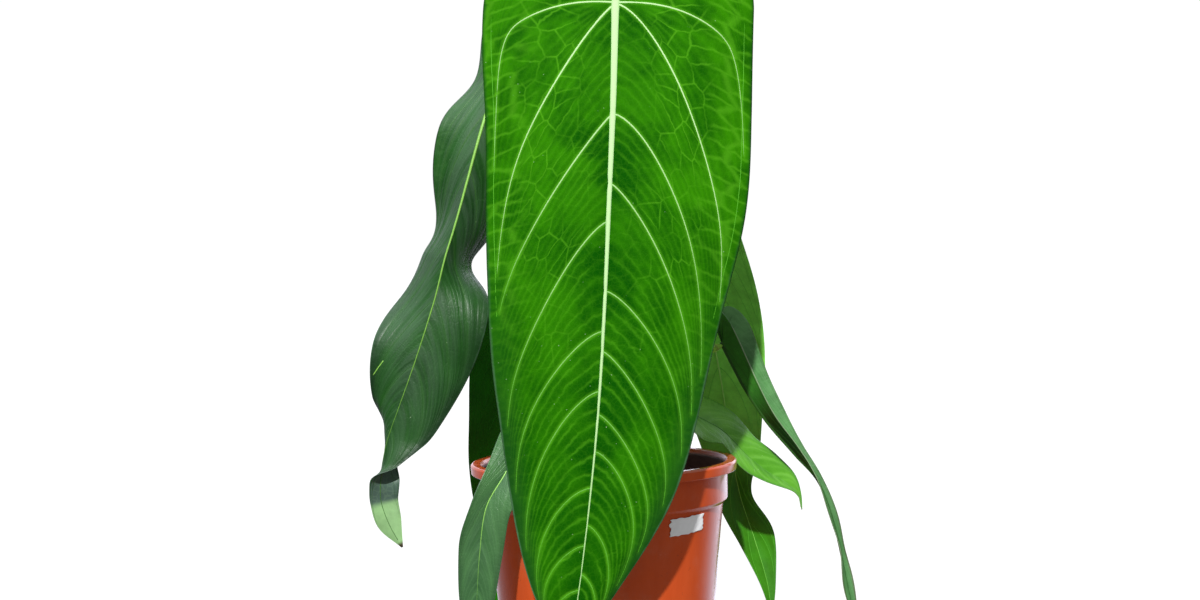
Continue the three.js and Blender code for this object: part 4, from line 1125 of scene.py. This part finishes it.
def add_stem():
    rng = random.Random(11)
    shell = Shell()

    def stem_radius(u):
        root = np.minimum(1, 0.5 + 2.5 * u)
        bud = np.minimum(1, 0.25 + 1.9 * np.sqrt(np.maximum(0, 1 - u)))
        scars = 1 - 0.035 * (1 + np.cos(2 * np.pi * SCAR_RINGS * u + 0.4 * np.sin(17 * u)))
        crease = 0.04 * np.maximum(0, np.cos(2 * np.pi * SCAR_RINGS * u + 0.4)) ** 12
        return STEM_RADIUS * root * bud * (scars - crease)

    heights = [STEM_FOOT, (STEM_FOOT + STEM_TOP) / 2, STEM_TOP, STEM_TOP + STEM_BUD]
    rod(shell, [(*STEM, height) for height in heights], stem_radius, 40, 150)
    for azimuth in ROOT_AZIMUTHS:
        reach = 17 + 9 * rng.random()
        start = MIX_HEIGHT + 11 + 10 * rng.random()
        bends = (
            (STEM_RADIUS - 4, start), (STEM_RADIUS + 3, start - 1), (reach - 4, start - 9),
            (reach, MIX_HEIGHT - 4), (reach - 1, MIX_HEIGHT - 18),
        )
        route = []
        for distance, height in bends:
            stray = np.array([rng.uniform(-0.8, 0.8), rng.uniform(-0.8, 0.8), 0])
            route.append(around(STEM, distance, math.radians(azimuth), height) + stray)
        knobs = rng.uniform(0, 6)
        rod(shell, route, lambda u: ROOT_RADIUS * (1 - 0.25 * u + 0.05 * np.sin(23 * u + knobs)), 12, 40, 1)

    # Dry sheaths, torn into fibres along their tops
    for azimuth, foot, height in SHEATHS:
        tear = [rng.uniform(0.55, 1.0) for _ in range(SHEATH_COLUMNS + 1)]

        def point_at(r, c):
            rise = r / SHEATH_ROWS * tear[c]
            spread = 26 * (1 - rise) ** 0.7 + 2.5
            radius = STEM_RADIUS - 2.4 + 9 * rise + 0.35 * math.sin(c * 1.7 + 3 * rise)
            angle = math.radians(azimuth + spread * (2 * c / SHEATH_COLUMNS - 1))
            return around(STEM, radius, angle, foot + height * rise)

        shell.add(*upright_sheet(point_at, SHEATH_ROWS, SHEATH_COLUMNS, 0.22, STEM), 2)
        for _ in range(SHEATH_FIBRES):
            angle = math.radians(azimuth + rng.uniform(-22, 22))
            lean = math.radians(rng.uniform(-8, 8))
            route = []
            for step in range(5):
                radius = STEM_RADIUS + 0.3 + step * rng.uniform(1.2, 2.6)
                route.append(around(STEM, radius, angle + lean * step, foot + height * (0.1 + 0.24 * step)))
            rod(shell, route, lambda u: 0.3 * (1 - 0.7 * u), 5, 14, 2)
    looks = [
        stem_look(),
        fibre_look("root_skin", (0.2, 0.13, 0.06), (0.42, 0.32, 0.18)),
        fibre_look("dry_sheath", (0.1, 0.045, 0.018), (0.34, 0.2, 0.09)),
    ]
    shell.piece("stem_and_roots", looks, "stem", ["stem"])


# Stage and light
FLOOR_REACH = 12000  # millimetres, and the radii are metres
FLOOR_GLOW = 0.92
BACKDROP_RADIUS = 9
REFLECTOR_RADIUS = 8
BACKDROP_WHITE = 1.02


def add_dome(name, radius, paint):
    """A sphere that only glows, with a colour that paint works out from its look's nodes."""
    look = Look(name)
    glow = look.node("Emission", {"Color": paint(look), "Strength": 1.0})
    look.feed(look.nodes["Material Output"].inputs["Surface"], glow)
    look.nodes.remove(look.shader)
    edit = bmesh.new()
    bmesh.ops.create_uvsphere(edit, u_segments=48, v_segments=24, radius=radius)
    dome = mesh_object(name, [], [], [look.material])
    edit.to_mesh(dome.data)
    edit.free()
    dome.visible_diffuse = False
    dome.visible_shadow = False
    dome.visible_transmission = False
    return dome


def mirrored(look):
    """What gloss mirrors: white behind the plant, sky above and to the left, dark in front and below."""
    between = look.between
    sideways, ahead, height = look.split(look.where())
    back = between(ahead, 2.0, 7.6, 0.08, 3.0)
    back = back * between(height, -5.0, 2.0, 0.35, 1.0) * between(sideways, -5.0, 3.0, 0.25, 1.0)
    sky = between(height, 2.2, 6.5, 0, 2.6) * between(sideways, -6.0, 4.0, 1, 0.3)
    tints = ((0.92, 0.9), (0.92, 1.05), (1.08, 1.0))  # of the white and of the sky, for each colour channel
    return look.join(*[look.maths("MAXIMUM", back * white, sky * tint) for white, tint in tints])


def add_stage():
    look = Look("floor", 0.9, 0.1)
    look.set("Base Color", look.mix(look.noise(look.where(), 40, 3), (0.15,) * 3, (0.17,) * 3))
    look.set("Emission Color", (1, 1, 1))
    look.set("Emission Strength", FLOOR_GLOW)
    corners = [(x * FLOOR_REACH, y * FLOOR_REACH, 0) for x, y in ((-1, -1), (1, -1), (1, 1), (-1, 1))]
    floor = mesh_object("floor", corners, [(0, 1, 2, 3)], [look.material])
    floor.visible_diffuse = False
    floor.visible_glossy = False
    backdrop = add_dome("backdrop", BACKDROP_RADIUS, lambda look: look.join(*[BACKDROP_WHITE] * 3))
    backdrop.visible_glossy = False
    reflector = add_dome("reflector", REFLECTOR_RADIUS, mirrored)
    reflector.visible_camera = False


SUN_WAY = (8, 80, -57)  # from in front, a little from the left, 35 degrees down
SUN_STRENGTH = 3.5
SUN_SPREAD = 1.2  # degrees
SKY_STRENGTH = 0.34


def add_light():
    world = bpy.data.worlds.new("sky")
    world.use_nodes = True
    background = world.node_tree.nodes["Background"]
    background.inputs["Color"].default_value = (1, 1, 1, 1)
    background.inputs["Strength"].default_value = SKY_STRENGTH
    bpy.context.scene.world = world
    data = bpy.data.lights.new("sun", "SUN")
    data.energy = SUN_STRENGTH
    data.angle = math.radians(SUN_SPREAD)
    sun = linked("sun", data)
    sun.matrix_world = Vector(SUN_WAY).to_track_quat("-Z", "Y").to_matrix().to_4x4()
    bpy.context.scene.view_settings.view_transform = "Standard"


make_camera()
add_stage()
add_light()
add_pot()
add_label()
add_mix()
add_stem()
skin = petiole_look()
for leaf_name in LEAVES:
    add_petiole(leaf_name, skin)

# Each leaf's looks: upper face, underside and veins
FRONT_LOOKS = [
    leaf_look(
        "front_upper", (0.003, 0.078, 0.0001), (0.03, 0.215, 0.0004), (0.1, 0.4, 0.012),
        (0.01, 0.07, 0.008), 0.75, 0.02,
    ),
    underside_look("front_under", (0.12, 0.24, 0.06), (0.3, 0.42, 0.16), 0.6, 0.3),
    rib_look("front_veins", (0.53, 0.78, 0.38), (0.09, 0.4, 0.015), 0.55, 0.15),
]
GREY_LOOKS = [
    leaf_look(
        "grey_upper", (0.005, 0.05, 0.004), (0.016, 0.11, 0.01), (0.06, 0.19, 0.04),
        (0.01, 0.035, 0.012), 0.44, 0.46, 0.4, 0.35,
    ),
    # the dark slate up to near the tip is a painted shadow on the twisted tip's underside
    underside_look(
        "grey_under", (0.3, 0.54, 0.22), (0.4, 0.64, 0.3), 0.5, 0.35, 0.06, (0.08, 0.14, 0.105),
        (0.908, 0.922),
    ),
    rib_look("grey_veins", (0.28, 0.6, 0.09), (0.015, 0.09, 0.01), 0.4, 0.45),
]
DARK_LOOKS = [
    GREY_LOOKS[0],
    underside_look("dark_under", (0.012, 0.19, 0.001), (0.02, 0.22, 0.004), 0.5, 0.25, 0.15),
    rib_look("dark_veins", (0.04, 0.26, 0.01), (0.015, 0.2, 0.003), 0.5, 0.3),
]
PALE_LOOKS = [
    leaf_look(
        "pale_upper", (0.035, 0.12, 0.035), (0.07, 0.2, 0.06), (0.12, 0.3, 0.1), (0.03, 0.09, 0.03),
        0.4, 0.55, 0.45, 0.2,
    ),
    GREY_LOOKS[1],
    rib_look("pale_veins", (0.4, 0.8, 0.15), (0.06, 0.2, 0.05), 0.4, 0.45),
]
MID_LOOKS = [
    GREY_LOOKS[0],
    # the brighter green towards the joint is painted light
    underside_look("mid_under", (0.045, 0.27, 0.006), (0.08, 0.36, 0.02), 0.45, 0.3, 0.1, (0.27, 0.86, 0.1)),
    rib_look("mid_veins", (0.45, 0.85, 0.2), (0.12, 0.5, 0.04), 0.45, 0.3),
]
FOLDED_LOOKS = [
    leaf_look(
        "folded_upper", (0.05, 0.17, 0.045), (0.13, 0.37, 0.11), (0.2, 0.42, 0.18), (0.12, 0.12, 0.07),
        0.42, 0.4, 0.4,
    ),
    # the brighter green towards the joint is painted light
    underside_look(
        "folded_under", (0.005, 0.028, 0.002), (0.01, 0.045, 0.005), 0.34, 0.45, 0.15,
        (0.05, 0.24, 0.025), (0.12, 0.3), rim=(0.28, 0.4, 0.22),
    ),
    rib_look("folded_veins", (0.03, 0.11, 0.012), (0.018, 0.08, 0.006), 0.4, 0.4),
]
LIGHT_LOOKS = [
    leaf_look(
        "light_upper", (0.07, 0.29, 0.012), (0.17, 0.5, 0.045), (0.24, 0.6, 0.09), (0.06, 0.26, 0.015),
        0.45, 0.14, 0.6,
    ),
    underside_look("light_under", (0.2, 0.45, 0.1), (0.35, 0.6, 0.2), 0.5, 0.3),
    rib_look("light_veins", (0.06, 0.24, 0.012), (0.1, 0.36, 0.03), 0.4, 0.4),
]

SCRATCH = ((252, -21), (264, -25))  # its ends along and across the left leaf
add_leaf("front", FRONT_VEINS, FRONT_LOOKS, "leaf_bright")
add_leaf("left", even_veins("left", 8), GREY_LOOKS, "leaf_grey", 0.5, 0.3, [SCRATCH])
add_leaf("back_left", even_veins("back_left", 8), DARK_LOOKS, "leaf_dark", 0.4, 0.6)
add_leaf("low_left", even_veins("low_left", 6), PALE_LOOKS, "leaf_grey", 0.3, 0.3)
add_leaf("back_right", even_veins("back_right", 8), MID_LOOKS, "leaf_mid", 0.5, 0.4)
add_leaf("mid_right", even_veins("mid_right", 6), FOLDED_LOOKS, "leaf_grey", 0.25, 0.5)
add_leaf("low_right", even_veins("low_right", 6), LIGHT_LOOKS, "leaf_light", 0.35, 0.4)
